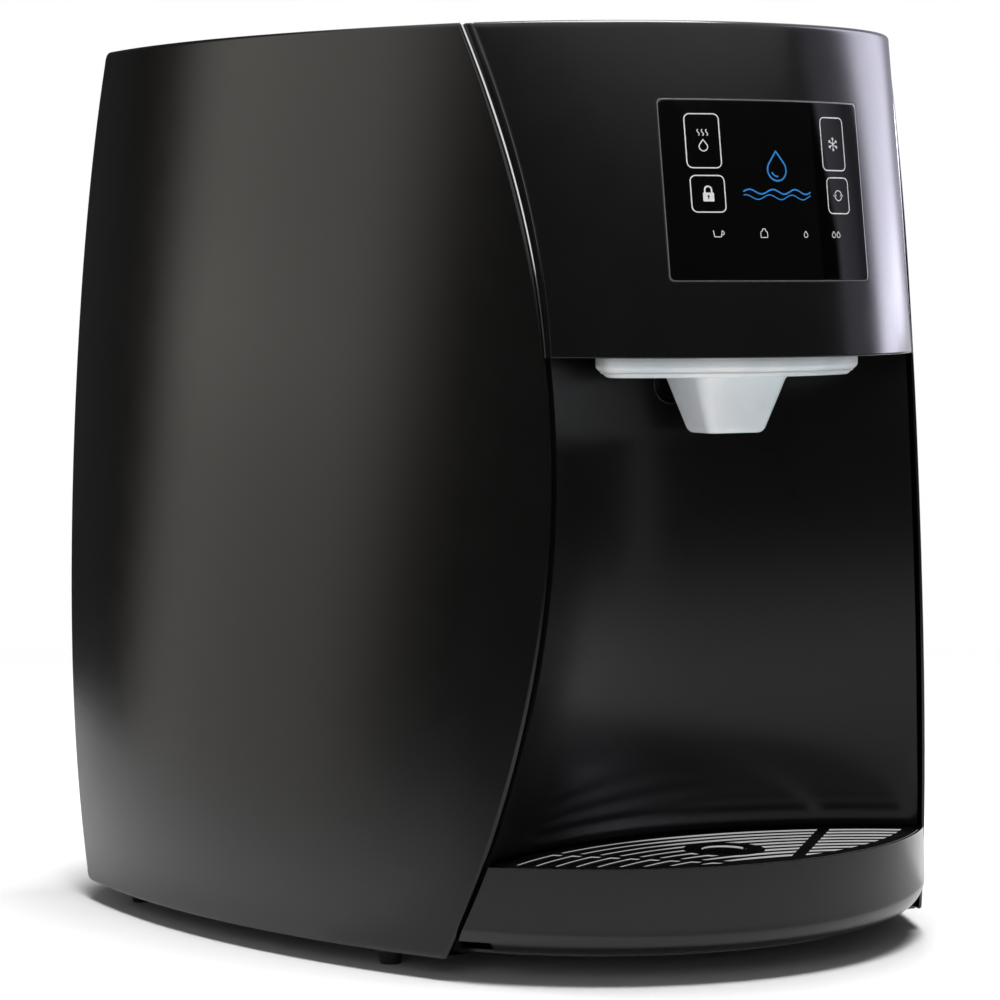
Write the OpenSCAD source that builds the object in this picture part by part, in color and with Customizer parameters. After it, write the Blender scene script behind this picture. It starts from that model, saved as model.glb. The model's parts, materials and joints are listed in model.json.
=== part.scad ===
// Countertop hot and cold water dispenser with a touch panel.
// Millimetres, +Z up, front towards -Y, origin on the table under the middle of the casing.

/* [Casing] */
// Height of the casing's top edge above the table
body_h = 452; // [446:1:466]
// Depth from the fascia's lower lip to the rearmost edge of the side panels
body_d = 448; // [440:1:470]
// Width across the side panels at half height
body_w = 370; // [364:1:390]
// Plan radius of each side panel
side_r = 539; // [520:1:560]
// Inward lean of the side panels, in degrees
side_lean = 2.9; // [2:0.1:3.5]
// Distance of the widest place behind the middle of the casing
crown_y = 99; // [90:1:108]
// Wall of the side panels
panel_wall = 3.8; // [3:0.1:4.4]
// Height of the side panels' lower edge above the table
panel_z = 10.3; // [9.6:0.1:10.6]
// Set-back of the panels' foremost edge behind the fascia's lower lip
front_set = 42.8; // [40:0.1:46]
// Radius of the panels' front edge, seen from the side
front_edge_r = 540; // [500:1:580]
// Height of the foremost place on that edge
front_edge_z = 216; // [206:1:226]
// Radius of the panels' rear edge, seen from the side
back_edge_r = 467; // [450:1:490]
// Height of the rearmost place on that edge
back_edge_z = 257; // [247:1:267]
// Bevel of the panels' rear corners
corner_r = 6; // [3:0.5:10]
// Width of the return flange under each side panel
flange_w = 10; // [6:0.5:12]

/* [Fascia] */
// Height of the fascia
fascia_h = 157; // [152:1:161]
// Plan radius of the fascia
fascia_r = 140; // [138:0.5:143]
// Backward lean of the fascia, in degrees
fascia_lean = 8.2; // [7.4:0.1:8.8]
// Wall of the fascia
fascia_wall = 3; // [2.4:0.1:3.4]
// Width of the trim strip at its lower end, front to back
trim_w = 2.6; // [2.2:0.1:4]
// Rise of the fascia's seam arc over the panels' edge arc, which widens the trim upwards
trim_rise = 11.7; // [8:0.1:14]
// Width of the groove along the trim strip
trim_groove = 0.7; // [0.4:0.1:0.9]
// Width of the touch panel
touch_w = 112.4; // [100:0.2:118]
// Height of the touch panel
touch_h = 84.5; // [78:0.5:90]
// Height of the touch panel's middle over the fascia's lower edge
touch_up = 78; // [74:0.5:82]
// Thickness of the touch panel
touch_t = 1.8; // [1.2:0.1:2]
// Corner radius of the touch panel
touch_corner = 2; // [1:0.5:5]
// Width of the ledge that the touch panel is bonded to
touch_ledge = 5; // [3:0.5:8]

/* [Dispensing bay] */
// Distance of the bay's vertical axis ahead of the panels' foremost edge
bay_axis = 136; // [130:1:142]
// Distance of the bay's waist, where it is shallowest, under the fascia
waist_drop = 66; // [59:1:73]
// Wall of the bay liner
liner_wall = 3; // [2.5:0.1:3.5]
// Sideways place of the cup sensor
sensor_x = -17; // [-20:1:20]
// Distance of the cup sensor under the bay's ceiling
sensor_drop = 14; // [12:0.5:18]
// Radius of the cup sensor's bezel
sensor_r = 10; // [8:0.5:11]

/* [Nozzle] */
// Distance of the nozzle's axis ahead of the bay's waist
nozzle_in = 22; // [21.5:0.5:24]
// Width of the nozzle cover's plate
nozzle_w = 145; // [120:0.5:150]
// Height of the plate
nozzle_h = 9.9; // [9:0.1:12]
// Chamfer round the plate's lower edge
nozzle_chamfer = 4.6; // [3:0.1:6]
// Distance of the plate's front edge behind the fascia
nozzle_back = 21; // [16:0.5:24]
// Distance of the plate's back edge from the bay's waist
nozzle_clear = 2.5; // [2:0.1:4]
// Wall of the nozzle cover
nozzle_wall = 2; // [1.4:0.1:2.4]
// Width of the shroud where it leaves the plate
shroud_w = 52; // [46:0.5:56]
// Depth of the shroud where it leaves the plate
shroud_d = 36; // [32:0.5:36.5]
// Height of the shroud
shroud_h = 27.2; // [22:0.1:32]
// Narrowing of the shroud's width from top to bottom
shroud_taper_w = 20; // [14:0.5:24]
// Narrowing of the shroud's depth from top to bottom
shroud_taper_d = 13; // [10:0.5:14]
// Outer radius of each spout
spout_r = 4; // [3:0.1:5]
// Wall of each spout
spout_wall = 1; // [0.6:0.1:1.4]
// Distance between the two spouts
spout_gap = 16; // [14:0.5:20]

/* [Drip tray] */
// Height of the tray's rim above the table
tray_top = 56; // [50:1:62]
// Set-back of the tray's front behind the fascia's lower lip
tray_set = 8; // [5:0.5:14]
// Wall of the tray
tray_wall = 2.6; // [2:0.1:3.2]
// Radius of the tray's lower edge
tray_fillet = 14; // [10:0.5:16]
// Width of the tray's rim round the grille
rim_w = 1.4; // [1:0.1:1.8]
// Thickness of the grille
grille_t = 3; // [2:0.1:4]
// Margin between the grille's outline and its slots
grille_margin = 8; // [6:0.5:12]
// Width of each grille slot
slot_w = 4.6; // [3:0.1:5.6]
// Distance from slot to slot
slot_pitch = 9; // [8:0.1:12]
// Width of the two ribs across the slots
rib_w = 6; // [4:0.5:9]
// Angle of each rib to the front-to-back axis, in degrees
rib_angle = 43; // [36:1:50]
// Radius of the grille's middle hole
hole_r = 11; // [8:0.5:14]
// Radius of the solid ring round that hole
ring_r = 20; // [17:0.5:24]

/* [Base and feet] */
// Height of each foot
foot_h = 12; // [11.6:0.1:14]
// Radius of the foot's upper part
foot_r = 7.4; // [6:0.1:8]
// Radius of the foot where it meets the table
foot_tip_r = 5; // [4.2:0.1:5.6]
// Distance of the feet inside the side panels
foot_inset = 19.5; // [19:0.5:24]
// Distance of the front feet ahead of the middle
foot_front = 87; // [75:1:95]
// Distance of the rear feet ahead of the service panel
foot_back = 14; // [10:1:24]
// Thickness of the base pan and of the other sheet-steel pieces
sheet = 1.5; // [1:0.1:2]

/* [Rear] */
// Inset of the rear cover from the panels' rear edge
rear_inset = 6; // [4:0.5:9]
// Inset of the service panel from the panels' rear edge, at its foot
service_in = 7.5; // [5:0.5:10]
// Height of the service recess's ceiling above the table
service_z = 118; // [112:1:124]
// Length of one louvre slot
louvre_l = 62; // [40:1:70]
// Height of one louvre slot
louvre_h = 4; // [3:0.5:5]
// Distance from louvre to louvre
louvre_pitch = 12; // [9:0.5:16]
// Number of rows of louvres
louvre_rows = 13; // [6:1:15]
// Height of the connections' middle line above the table
connect_z = 66; // [60:1:76]
// Sideways place of the mains inlet
mains_x = -112; // [-124:1:-104]
// Sideways place of the hot-side switch
hot_switch_x = -72; // [-76:1:-68]
// Sideways place of the cold-side switch
cold_switch_x = -44; // [-48:1:-40]
// Sideways place of the hot drain outlet
hot_drain_x = -10; // [-14:1:-6]
// Sideways place of the cold drain outlet
cold_drain_x = 20; // [16:1:24]
// Height of the drain outlets above the table
drain_z = 40; // [36:1:46]
// Sideways place of the water inlet
inlet_x = 62; // [56:1:70]
// Radius of the tube that the water inlet takes
inlet_tube_r = 3.2; // [3:0.05:4]
// Depth of the water inlet's tube socket
inlet_depth = 15; // [12:0.5:18]
// Outer radius of a drain spigot
spigot_r = 6; // [5:0.1:7]
// Length of a drain spigot
spigot_l = 14; // [12:0.5:18]
// Wall of a drain cap
cap_wall = 2.6; // [2:0.1:3.2]
// Tilt of a rocker from its middle position, in degrees
rocker_tilt = 10; // [8:0.5:12]

/* [Inside] */
// Height of the mid deck above the table
deck_z = 200; // [194:1:206]
// Half the width of the mid deck
deck_half_w = 150; // [144:1:152]
// Radius of the cold tank
cold_r = 72; // [66:1:76]
// Room over the cold tank, up to the casing's top edge
cold_head = 60.2; // [58:0.1:80]
// Thickness of the cold tank's insulation
cold_foam = 22; // [16:0.5:24]
// Radius of the hot tank
hot_r = 48; // [44:0.5:50]
// Height of the hot tank
hot_h = 130; // [116:1:134]
// Thickness of the hot tank's insulation
hot_foam = 11; // [8:0.5:12]
// Wall of both tanks
tank_wall = 1; // [0.6:0.1:1.5]
// Height of the hot tank's stand
hot_stand_h = 30; // [26:1:34]
// Sideways place of the hot tank
hot_x = -65; // [-70:1:-60]
// Radius of the compressor's shell
comp_r = 58; // [54:0.5:60]
// Height of the compressor's shell
comp_h = 136; // [120:1:142]
// Sideways place of the compressor
comp_x = 76; // [72:1:80]
// Distance of the compressor's axis ahead of the service panel
comp_in = 128; // [124:1:134]
// Width of the condenser
cond_w = 180; // [160:1:200]
// Height of the condenser
cond_h = 140; // [130:1:150]
// Depth of the condenser
cond_d = 34; // [28:1:36]
// Pitch of the condenser's fins
fin_pitch = 7.5; // [6:0.5:12]
// Side of the square fan frame
fan_side = 120; // [110:1:126]
// Depth of the fan frame
fan_d = 25; // [20:1:28]
// Number of fan blades
fan_blades = 7; // [5:1:9]
// Radius of a water tube
tube_r = 4; // [3:0.1:4.5]
// Radius of a refrigerant line
line_r = 3; // [2:0.1:3.5]

/* [Fits] */
// Clearance between fixed pieces that meet
gap = 0.3; // [0.2:0.05:0.5]
// Clearance round the drip tray
tray_gap = 1.2; // [0.8:0.1:1.6]
// Room behind the grille, so that it can be lifted past the bay's wall
lift_room = 2.2; // [1.8:0.1:2.6]
// Clearance along the trim strip
trim_gap = 0.4; // [0.3:0.05:0.6]
// Radial running clearance of a shaft or pin
running = 0.06; // [0.03:0.01:0.1]

/* [Hidden] */
$fn = 96;
hull_fn = 32;
far = 900;

// Finishes
black = "#26241f";
gloss = "#0c0c0e";
chrome = "#c9ccd0";
steel = "#b4b7ba";
milky = "#d5dadc";
rubber = "#1b1b1b";
foam = "#d8cfae";
copper = "#b06a3b";
board = "#1f5a38";
zinc = "#8f9499";

// Casing
half_w = body_w / 2;
mid_z = body_h / 2;
front_y = -body_d / 2;
fascia_z = body_h - fascia_h;
bay_waist_z = fascia_z - waist_drop;
edge_y = front_y + front_set;
front_cy = edge_y + front_edge_r;
back_cy = body_d / 2 - back_edge_r;
rear_r = back_edge_r - rear_inset;
fascia_axis_y = front_y + fascia_r / cos(fascia_lean);
seam_cy = front_cy - trim_w + trim_rise * (fascia_z - front_edge_z) / front_edge_r;

// Half width of a side panel's surface, moved inwards by d, at a place y and a height z
function skin_x(y, z, d) = half_w - side_r + sqrt(pow(side_r - d, 2) - pow(y - crown_y, 2))
    - tan(side_lean) * (z - mid_z);
// Place of the panels' front and rear edges at a height z
function front_edge_y(z) = front_cy - sqrt(pow(front_edge_r, 2) - pow(z - front_edge_z, 2));
function back_edge_y(z) = back_cy + sqrt(pow(back_edge_r, 2) - pow(z - back_edge_z, 2));
// Place of the rear cover's inner face at a height z
function rear_in_y(z) = back_cy + sqrt(pow(rear_r - sheet, 2) - pow(z - back_edge_z, 2));

// Dispensing bay: the liner's face meets the panels' inner edges at the waist and at the tray's rim
bay_axis_y = edge_y - bay_axis;
function bay_edge_r(z) = norm([skin_x(front_edge_y(z), z, panel_wall), front_edge_y(z) - bay_axis_y]);
waist_r = bay_edge_r(bay_waist_z);
rim_r = bay_edge_r(tray_top);
bay_sag = rim_r - waist_r;
bay_arc_r = (pow(bay_waist_z - tray_top, 2) + pow(bay_sag, 2)) / (2 * bay_sag);
function bay_face_r(z) = waist_r + bay_arc_r - sqrt(pow(bay_arc_r, 2) - pow(z - bay_waist_z, 2));

// Base, tray and nozzle
pan_top = foot_h + sheet;
service_y = back_edge_y(panel_z) - service_in;
tray_z = pan_top + gap;
tray_front_y = front_y + tray_set;
tray_bulge = front_edge_y(tray_top) - tray_front_y;
tray_edge_x = skin_x(front_edge_y(tray_top), tray_top, 0) - gap;
tray_r = (pow(tray_edge_x, 2) + pow(tray_bulge, 2)) / (2 * tray_bulge);
tray_cy = tray_front_y + tray_r;
nozzle_y = bay_axis_y + waist_r - nozzle_in;
ceiling_z = fascia_z + gap;
nozzle_top = ceiling_z - gap;
nozzle_z = nozzle_top - nozzle_h;
shroud_z = nozzle_z - shroud_h;
rib_root_y = tray_front_y - 9;

// Inside
deck_top = deck_z + sheet;
deck_back_y = rear_in_y(deck_z) - 30;
cold_base = deck_top + gap;
cold_outer_r = cold_r + cold_foam;
cold_z = cold_base + 10;
cold_top = body_h - cold_head;
cold_h = cold_top - cold_z;
cold_out = [32, -40];
cold_in = [0, 50];
hot_z = pan_top + hot_stand_h;
hot_top = hot_z + hot_h;
hot_outer_r = hot_r + hot_foam;
comp_y = service_y - comp_in;
comp_z = pan_top + 12;
cond_z = deck_top;
fan_z = cond_z + cond_h / 2;
fan_y = rear_in_y(fan_z) - 13 - fan_d;
shroud_y = fan_y - gap - sheet;
cond_y = shroud_y - gap - cond_d;
valve_x = 28;
valve_y = nozzle_y + 30;
valve_w = 26;
valve_h = 38;
valve_z = ceiling_z + liner_wall;

// Everything between the two side skins, both moved inwards by d
module inside_skins(d) {
    intersection() {
        skin(1, d);
        skin(-1, d);
    }
}

// Everything inside one side skin: s is 1 for the right-hand one and -1 for the left-hand one
module skin(s, d) {
    translate([s * (half_w - side_r), crown_y, mid_z])
        rotate([0, -s * side_lean, 0])
            cylinder(r = side_r - d, h = 2 * far, center = true);
}

// A side-view outline in Y and Z, drawn out along X
module across(x0, x1) {
    translate([x0, 0, 0])
        rotate([90, 0, 90])
            linear_extrude(x1 - x0)
                children();
}

// A slab between two heights
module level(z0, z1) {
    translate([-far / 2, -far / 2, z0])
        cube([far, far, z1 - z0]);
}

// A slab between two places front to back
module between(y0, y1) {
    translate([-far / 2, y0, -far / 2])
        cube([far, y1 - y0, 2 * far]);
}

// Side view of a panel: two arcs, cut level at top and bottom, with bevelled rear corners
module panel_outline() {
    difference() {
        intersection() {
            translate([front_cy, front_edge_z])
                circle(r = front_edge_r);
            translate([back_cy, back_edge_z])
                circle(r = back_edge_r);
            translate([-far / 2, panel_z])
                square([far, body_h - panel_z]);
        }
        rear_corner(body_h, 1);
        rear_corner(panel_z, -1);
    }
}

// What a bevel takes off between the rear arc and a level edge at height z
module rear_corner(z, up) {
    low = [back_edge_y(z - up * corner_r), z - up * corner_r];
    high = [back_edge_y(z) - corner_r, z];
    along = (low - high) / norm(low - high);
    polygon([low + corner_r * along, high - corner_r * along, [low[0] + 2 * corner_r, z + 2 * up * corner_r]]);
}

module side_panel(s) {
    color(black)
        intersection() {
            union() {
                difference() {
                    skin(s, 0);
                    skin(s, panel_wall);
                }
                intersection() {
                    difference() {
                        skin(s, panel_wall / 2);
                        skin(s, panel_wall + flange_w);
                    }
                    level(panel_z, foot_h - gap / 2);
                }
            }
            mirror([s < 0 ? 1 : 0, 0, 0])
                across(body_w / 8, body_w)
                    panel_outline();
        }
}

module left_side_panel() {
    side_panel(-1);
}

module right_side_panel() {
    side_panel(1);
}

// The fascia's own frame: origin on its axis at the lower edge, leaning back
module fascia_frame() {
    translate([0, fascia_axis_y, fascia_z])
        rotate([-fascia_lean, 0, 0])
            children();
}

module fascia_round(r) {
    fascia_frame()
        cylinder(r = r, h = far, center = true);
}

// The space behind the fascia's seam, moved back by d
module behind_seam(d) {
    across(-body_w / 2, body_w / 2)
        translate([seam_cy, front_edge_z + trim_rise])
            circle(r = front_edge_r - d);
}

// The space behind the panels' front edge, moved forward by d
module behind_edge(d) {
    across(-body_w, body_w)
        translate([front_cy, front_edge_z])
            circle(r = front_edge_r + d);
}

// A rounded rectangle pushed level out of the fascia's axis
module fascia_window(w, h, r) {
    translate([0, fascia_axis_y, fascia_z + touch_up])
        rotate([90, 0, 0])
            linear_extrude(2 * fascia_r)
                rounded(w, h, r);
}

module rounded(w, h, r) {
    square([w - 2 * r, h], center = true);
    square([w, h - 2 * r], center = true);
    for (x = [-1, 1], y = [-1, 1])
        translate([x * (w / 2 - r), y * (h / 2 - r)])
            circle(r = r);
}

// Bosses behind the fascia that the control board is screwed to
board_w = touch_w + 12;
board_h = 66;
board_t = 1.6;
board_y = 116;
board_up = (touch_up - fascia_r * sin(fascia_lean)) / cos(fascia_lean);
boss_r = 3.5;

module board_corners() {
    for (x = [-1, 1], z = [-1, 1])
        translate([x * (board_w / 2 - 5), -board_y, board_up + z * (board_h / 2 - 5)])
            children();
}

module front_fascia() {
    color(black)
        difference() {
            intersection() {
                union() {
                    difference() {
                        fascia_round(fascia_r);
                        fascia_round(fascia_r - fascia_wall);
                    }
                    intersection() {
                        fascia_round(fascia_r - fascia_wall / 2);
                        fascia_frame()
                            board_corners()
                                rotate([90, 0, 0])
                                    cylinder(r = boss_r, h = fascia_r);
                    }
                }
                level(fascia_z, body_h);
                between(-far / 2, fascia_axis_y);
            }
            behind_seam(0);
            intersection() {
                fascia_window(touch_w + 2 * gap, touch_h + 2 * gap, touch_corner);
                difference() {
                    fascia_round(fascia_r + 1);
                    fascia_round(fascia_r - touch_t - gap / 2);
                }
            }
            fascia_window(touch_w - 2 * touch_ledge, touch_h - 2 * touch_ledge, touch_corner);
        }
}

module touch_panel() {
    color(gloss)
        intersection() {
            fascia_window(touch_w, touch_h, touch_corner);
            difference() {
                fascia_round(fascia_r + gap / 2);
                fascia_round(fascia_r - touch_t);
            }
        }
}

module trim_strip(s) {
    color(chrome)
        difference() {
            intersection() {
                difference() {
                    fascia_round(fascia_r + gap);
                    fascia_round(fascia_r - fascia_wall);
                }
                level(fascia_z, body_h - gap);
                between(-far / 2, fascia_axis_y);
                behind_seam(trim_gap / 2);
                translate([s > 0 ? 0 : -far, -far / 2, 0])
                    cube([far, far, far]);
            }
            behind_edge(trim_gap);
            difference() {
                behind_seam(trim_w / 2 + trim_groove / 2);
                behind_seam(trim_w / 2 + trim_groove * 3 / 2);
                fascia_round(fascia_r - trim_groove);
            }
        }
}

module left_trim_strip() {
    trim_strip(-1);
}

module right_trim_strip() {
    trim_strip(1);
}

// Top cover: a plate let in flush between the panels, with a rim that hangs inside them
lid_drop = 1;
lid_t = 3;
lid_rim_h = 12;
lid_rim_t = 2.5;

module lid_plan(d) {
    intersection() {
        inside_skins(panel_wall + d);
        fascia_wide(d);
        across(-body_w, body_w)
            translate([back_cy, back_edge_z])
                circle(r = rear_r - d);
    }
}

// Everything behind the fascia's inner face, moved back by d
module fascia_wide(d) {
    fascia_round(fascia_r - fascia_wall - d);
    between(fascia_axis_y, far / 2);
}

module top_cover() {
    color(black)
        difference() {
            intersection() {
                lid_plan(gap);
                level(body_h - lid_drop - lid_t - lid_rim_h, body_h - lid_drop);
            }
            intersection() {
                lid_plan(gap + lid_rim_t);
                level(0, body_h - lid_drop - lid_t);
            }
            lid_screw_places()
                cylinder(r = 1.6 + gap, h = far, center = true);
        }
}

module lid_screw_places() {
    for (s = [-1, 1], y = [edge_y + 90, body_d / 2 - 80])
        translate([s * (skin_x(y, body_h, panel_wall) - 18), y, body_h - lid_drop])
            children();
}

// A pan-head screw: head above the origin, shank below
module screw(head_r, head_h, shank_r, shank_l) {
    difference() {
        rotate_extrude()
            intersection() {
                translate([0, head_h - head_r * 1.6])
                    circle(r = head_r * 1.6);
                square([head_r, head_h]);
            }
        translate([0, 0, head_h])
            for (a = [0, 90])
                rotate(a)
                    cube([head_r * 1.1, head_r * 0.25, head_h], center = true);
    }
    translate([0, 0, -shank_l])
        cylinder(r = shank_r, h = shank_l + head_h / 4);
}

module top_cover_screws() {
    color(zinc)
        lid_screw_places()
            translate([0, 0, gap / 2])
                screw(3.2, 0.8, 1.6, lid_t + 5);
}

// Rear cover: a bent sheet that follows the panels' rear edge, with three columns of louvre slots
cover_top = body_h - lid_drop - lid_t - lid_rim_h - gap;
louvre_mid_z = fan_z;

module slot(l, h) {
    square([l - h, h], center = true);
    for (x = [-1, 1])
        translate([x * (l - h) / 2, 0])
            circle(d = h);
}

module rear_cover() {
    color(black)
        difference() {
            intersection() {
                inside_skins(panel_wall + gap);
                across(-body_w, body_w)
                    difference() {
                        translate([back_cy, back_edge_z])
                            circle(r = rear_r);
                        translate([back_cy, back_edge_z])
                            circle(r = rear_r - sheet);
                    }
                level(service_z + gap, cover_top);
                between(0, far / 2);
            }
            for (col = [-1, 0, 1], row = [0 : louvre_rows - 1])
                translate([col * (louvre_l + 14), 0, louvre_mid_z + (row - (louvre_rows - 1) / 2) * louvre_pitch])
                    rotate([-90, 0, 0])
                        linear_extrude(far)
                            slot(louvre_l, louvre_h);
            rear_screw_places()
                cylinder(r = 2 + gap, h = far, center = true);
        }
}

rear_screw_in = 7;

module rear_screw_places() {
    for (s = [-1, 1], z = [service_z + 14, back_edge_z + 60, cover_top - 14]) {
        lean = asin((z - back_edge_z) / rear_r);
        y = back_cy + rear_r * cos(lean);
        translate([s * (skin_x(y, z, panel_wall) - rear_screw_in), y, z])
            rotate([lean - 90, 0, 0])
                children();
    }
}

module rear_cover_screws() {
    color(zinc)
        rear_screw_places()
            translate([0, 0, gap / 2])
                screw(4, 2.2, 2, 8);
}

// Service panel: upright plate with a shelf back to the rear cover's lower edge
mains_w = 30;
mains_h = 24;
switch_w = 15;
switch_h = 21;
switch_in = 1.2;
inlet_body_r = 7;

module service_places() {
    translate([mains_x, service_y, connect_z])
        rotate([90, 0, 0])
            linear_extrude(far, center = true)
                square([mains_w - 3, mains_h - 3], center = true);
    for (x = [hot_switch_x, cold_switch_x])
        translate([x, service_y, connect_z])
            rotate([90, 0, 0])
                linear_extrude(far, center = true)
                    square([switch_w - 2 * switch_in + 2 * gap, switch_h - 2 * switch_in + 2 * gap], center = true);
    for (x = [hot_drain_x, cold_drain_x])
        translate([x, service_y, drain_z])
            rotate([90, 0, 0])
                cylinder(r = spigot_r + gap, h = far, center = true);
    translate([inlet_x, service_y, connect_z])
        rotate([90, 0, 0])
            cylinder(r = inlet_body_r + gap, h = far, center = true);
}

module service_panel() {
    color(black)
        difference() {
            intersection() {
                inside_skins(panel_wall + gap);
                union() {
                    intersection() {
                        between(service_y - sheet, service_y);
                        level(pan_top, service_z);
                    }
                    intersection() {
                        between(service_y - sheet, rear_in_y(service_z) + sheet / 2);
                        level(service_z - sheet, service_z);
                    }
                }
            }
            intersection() {
                service_places();
                level(pan_top, service_z - 2 * sheet);
            }
        }
}

// Base pan: follows the panels, with a rounded front that stays under the drip tray
pan_front_in = tray_fillet + 4;

module base_pan() {
    color(black)
        difference() {
            intersection() {
                inside_skins(panel_wall + gap);
                level(foot_h, pan_top);
                between(-far / 2, service_y);
                union() {
                    translate([0, tray_cy, 0])
                        cylinder(r = tray_r - pan_front_in, h = far);
                    between(tray_cy - 60, far / 2);
                }
                union() {
                    behind_edge(0);
                    translate([0, tray_cy, 0])
                        cylinder(r = tray_r - pan_front_in, h = far);
                }
            }
            foot_places()
                cylinder(r = 2 + gap, h = far);
            comp_feet()
                cylinder(r = 3 + gap, h = far, center = true);
            panel_screw_places()
                cylinder(r = 1.6 + gap / 2, h = far);
        }
}

module foot_places() {
    for (s = [-1, 1], y = [-foot_front, service_y - foot_back])
        translate([s * (skin_x(y, panel_z, panel_wall) - foot_inset), y, 0])
            children();
}

foot_bore_r = 3.4;

module feet() {
    color(rubber)
        foot_places()
            rotate_extrude()
                difference() {
                    polygon([
                        [0, 0], [foot_tip_r, 0], [foot_r - 1.4, foot_h / 2], [foot_r, foot_h / 2],
                        [foot_r, foot_h], [0, foot_h]
                    ]);
                    square([foot_bore_r, foot_h / 2 - 1]);
                    square([2 + gap / 2, foot_h]);
                }
}

module foot_screws() {
    color(zinc)
        foot_places()
            translate([0, 0, foot_h / 2 - 1])
                mirror([0, 0, 1])
                    screw(foot_bore_r - gap, 2, 2, foot_h / 2 + sheet + 6);
}

panel_screw_in = 40;

module panel_screw_places() {
    for (s = [-1, 1], y = [-foot_front + panel_screw_in, 0, service_y - foot_back - panel_screw_in])
        translate([s * (skin_x(y, panel_z, panel_wall) - flange_w / 2), y, panel_z])
            children();
}

module panel_screws() {
    color(zinc)
        panel_screw_places()
            translate([0, 0, foot_h - panel_z + sheet])
                screw(3, 1.8, 1.6, sheet);
}

// Bay liner: a saddle-shaped wall turned about the bay's axis, and the ceiling over the bay
module in_front_of_bay(d) {
    translate([0, bay_axis_y, 0])
        rotate_extrude()
            difference() {
                square([2 * rim_r, body_h]);
                translate([waist_r + bay_arc_r, bay_waist_z])
                    circle(r = bay_arc_r + d);
            }
}

module bay_wall() {
    translate([0, bay_axis_y, 0])
        rotate_extrude()
            intersection() {
                difference() {
                    translate([waist_r + bay_arc_r, bay_waist_z])
                        circle(r = bay_arc_r);
                    translate([waist_r + bay_arc_r, bay_waist_z])
                        circle(r = bay_arc_r - liner_wall);
                }
                translate([waist_r / 2, pan_top])
                    square([2 * rim_r - waist_r, valve_z - pan_top]);
            }
}

module bay_liner() {
    color(black)
        difference() {
            intersection() {
                inside_skins(panel_wall + gap);
                union() {
                    intersection() {
                        bay_wall();
                        behind_edge(0);
                    }
                    intersection() {
                        level(ceiling_z, valve_z);
                        fascia_round(fascia_r - fascia_wall - gap);
                        between(-far / 2, valve_y + valve_w / 2 + 4);
                    }
                }
            }
            for (s = [-1, 1])
                translate([s * spout_gap / 2, nozzle_y, 0])
                    cylinder(r = spout_r + gap, h = far);
            sensor_axis()
                cylinder(r = sensor_r - 2 + gap, h = 60, center = true);
        }
}

module sensor_axis() {
    sensor_z = ceiling_z - sensor_drop;
    translate([sensor_x, bay_axis_y + bay_face_r(sensor_z), sensor_z])
        rotate([90, 0, 0])
            children();
}

module cup_sensor() {
    color(gloss)
        union() {
            intersection() {
                in_front_of_bay(gap / 2);
                difference() {
                    sensor_axis()
                        cylinder(r = sensor_r, h = 3);
                    sensor_axis()
                        cylinder(r = sensor_r - 3, h = 20);
                }
            }
            sensor_axis()
                translate([0, 0, -12])
                    difference() {
                        cylinder(r = sensor_r - 2, h = 14);
                        translate([0, 0, 12.5])
                            cylinder(r = sensor_r - 3, h = 14);
                    }
        }
}

// Nozzle cover: a shallow chamfered plate, open above, with a tapered shroud round the spouts
module nozzle_plan(d) {
    intersection() {
        translate([0, fascia_axis_y])
            circle(r = fascia_r - nozzle_back - d, $fn = 2 * hull_fn);
        translate([0, bay_axis_y])
            circle(r = waist_r - nozzle_clear - d, $fn = 2 * hull_fn);
        translate([-nozzle_w / 2 + d, -far / 2])
            square([nozzle_w - 2 * d, far]);
    }
}

module nozzle_dish(d, top) {
    chamfer_top = nozzle_z + nozzle_chamfer;
    hull() {
        translate([0, 0, chamfer_top])
            linear_extrude(top - chamfer_top)
                nozzle_plan(d);
        translate([0, 0, nozzle_z + d])
            linear_extrude(0.1)
                nozzle_plan(nozzle_chamfer);
    }
}

// One level section of the shroud, moved inwards by d, at a share t of the way down
module shroud_ring(t, d) {
    translate([0, nozzle_y, nozzle_z - shroud_h * t])
        linear_extrude(0.1)
            shroud_plan(t, d);
}

shroud_lip = 2;
// Shares of the shroud's height that its outside and its inside reach up into the dish
shroud_root = (nozzle_wall + 3 * gap) / shroud_h;
shroud_open = (nozzle_wall + gap) / shroud_h;

module shroud_plan(t, d) {
    w = shroud_w - shroud_taper_w * t - 2 * d;
    deep = shroud_d - shroud_taper_d * t - 2 * d;
    rounded(w, deep, 6 - 2 * t - d / 2, $fn = hull_fn);
}

// The shroud's taper, rounded off by lip over its last stretch
module shroud(top_t, turn_t, end_t, d, lip) {
    hull() {
        shroud_ring(top_t, d);
        shroud_ring(turn_t, d);
        shroud_ring(end_t, d + lip);
    }
}

module nozzle_cover() {
    color(milky, 0.9)
        difference() {
            union() {
                nozzle_dish(0, nozzle_top);
                shroud(-shroud_root, 0.9, 1, 0, shroud_lip);
            }
            nozzle_dish(nozzle_wall, nozzle_top + 1);
            shroud(-shroud_open, 0.84, 0.94, nozzle_wall, shroud_lip);
            translate([0, nozzle_y, shroud_z - 1])
                linear_extrude(shroud_h / 2)
                    shroud_plan(1, nozzle_wall + shroud_lip);
        }
}

// A tube: straight runs along a list of points, joined by block-shaped elbow fittings
elbow = 1.5;

module pipe(points, r) {
    last = len(points) - 2;
    for (i = [0 : last]) {
        run = points[i + 1] - points[i];
        way = run / norm(run);
        from = i == 0 ? 0 : r;
        to = norm(run) - (i == last ? 0 : r);
        translate(points[i] + from * way)
            rotate([0, acos(way[2]), atan2(way[1], way[0])])
                cylinder(r = r, h = to - from, $fn = 48);
    }
    if (last > 0)
        for (i = [1 : last])
            translate(points[i])
                cube(2 * elbow * r, center = true);
}

spout_turn_z = valve_z + 9;

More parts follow.
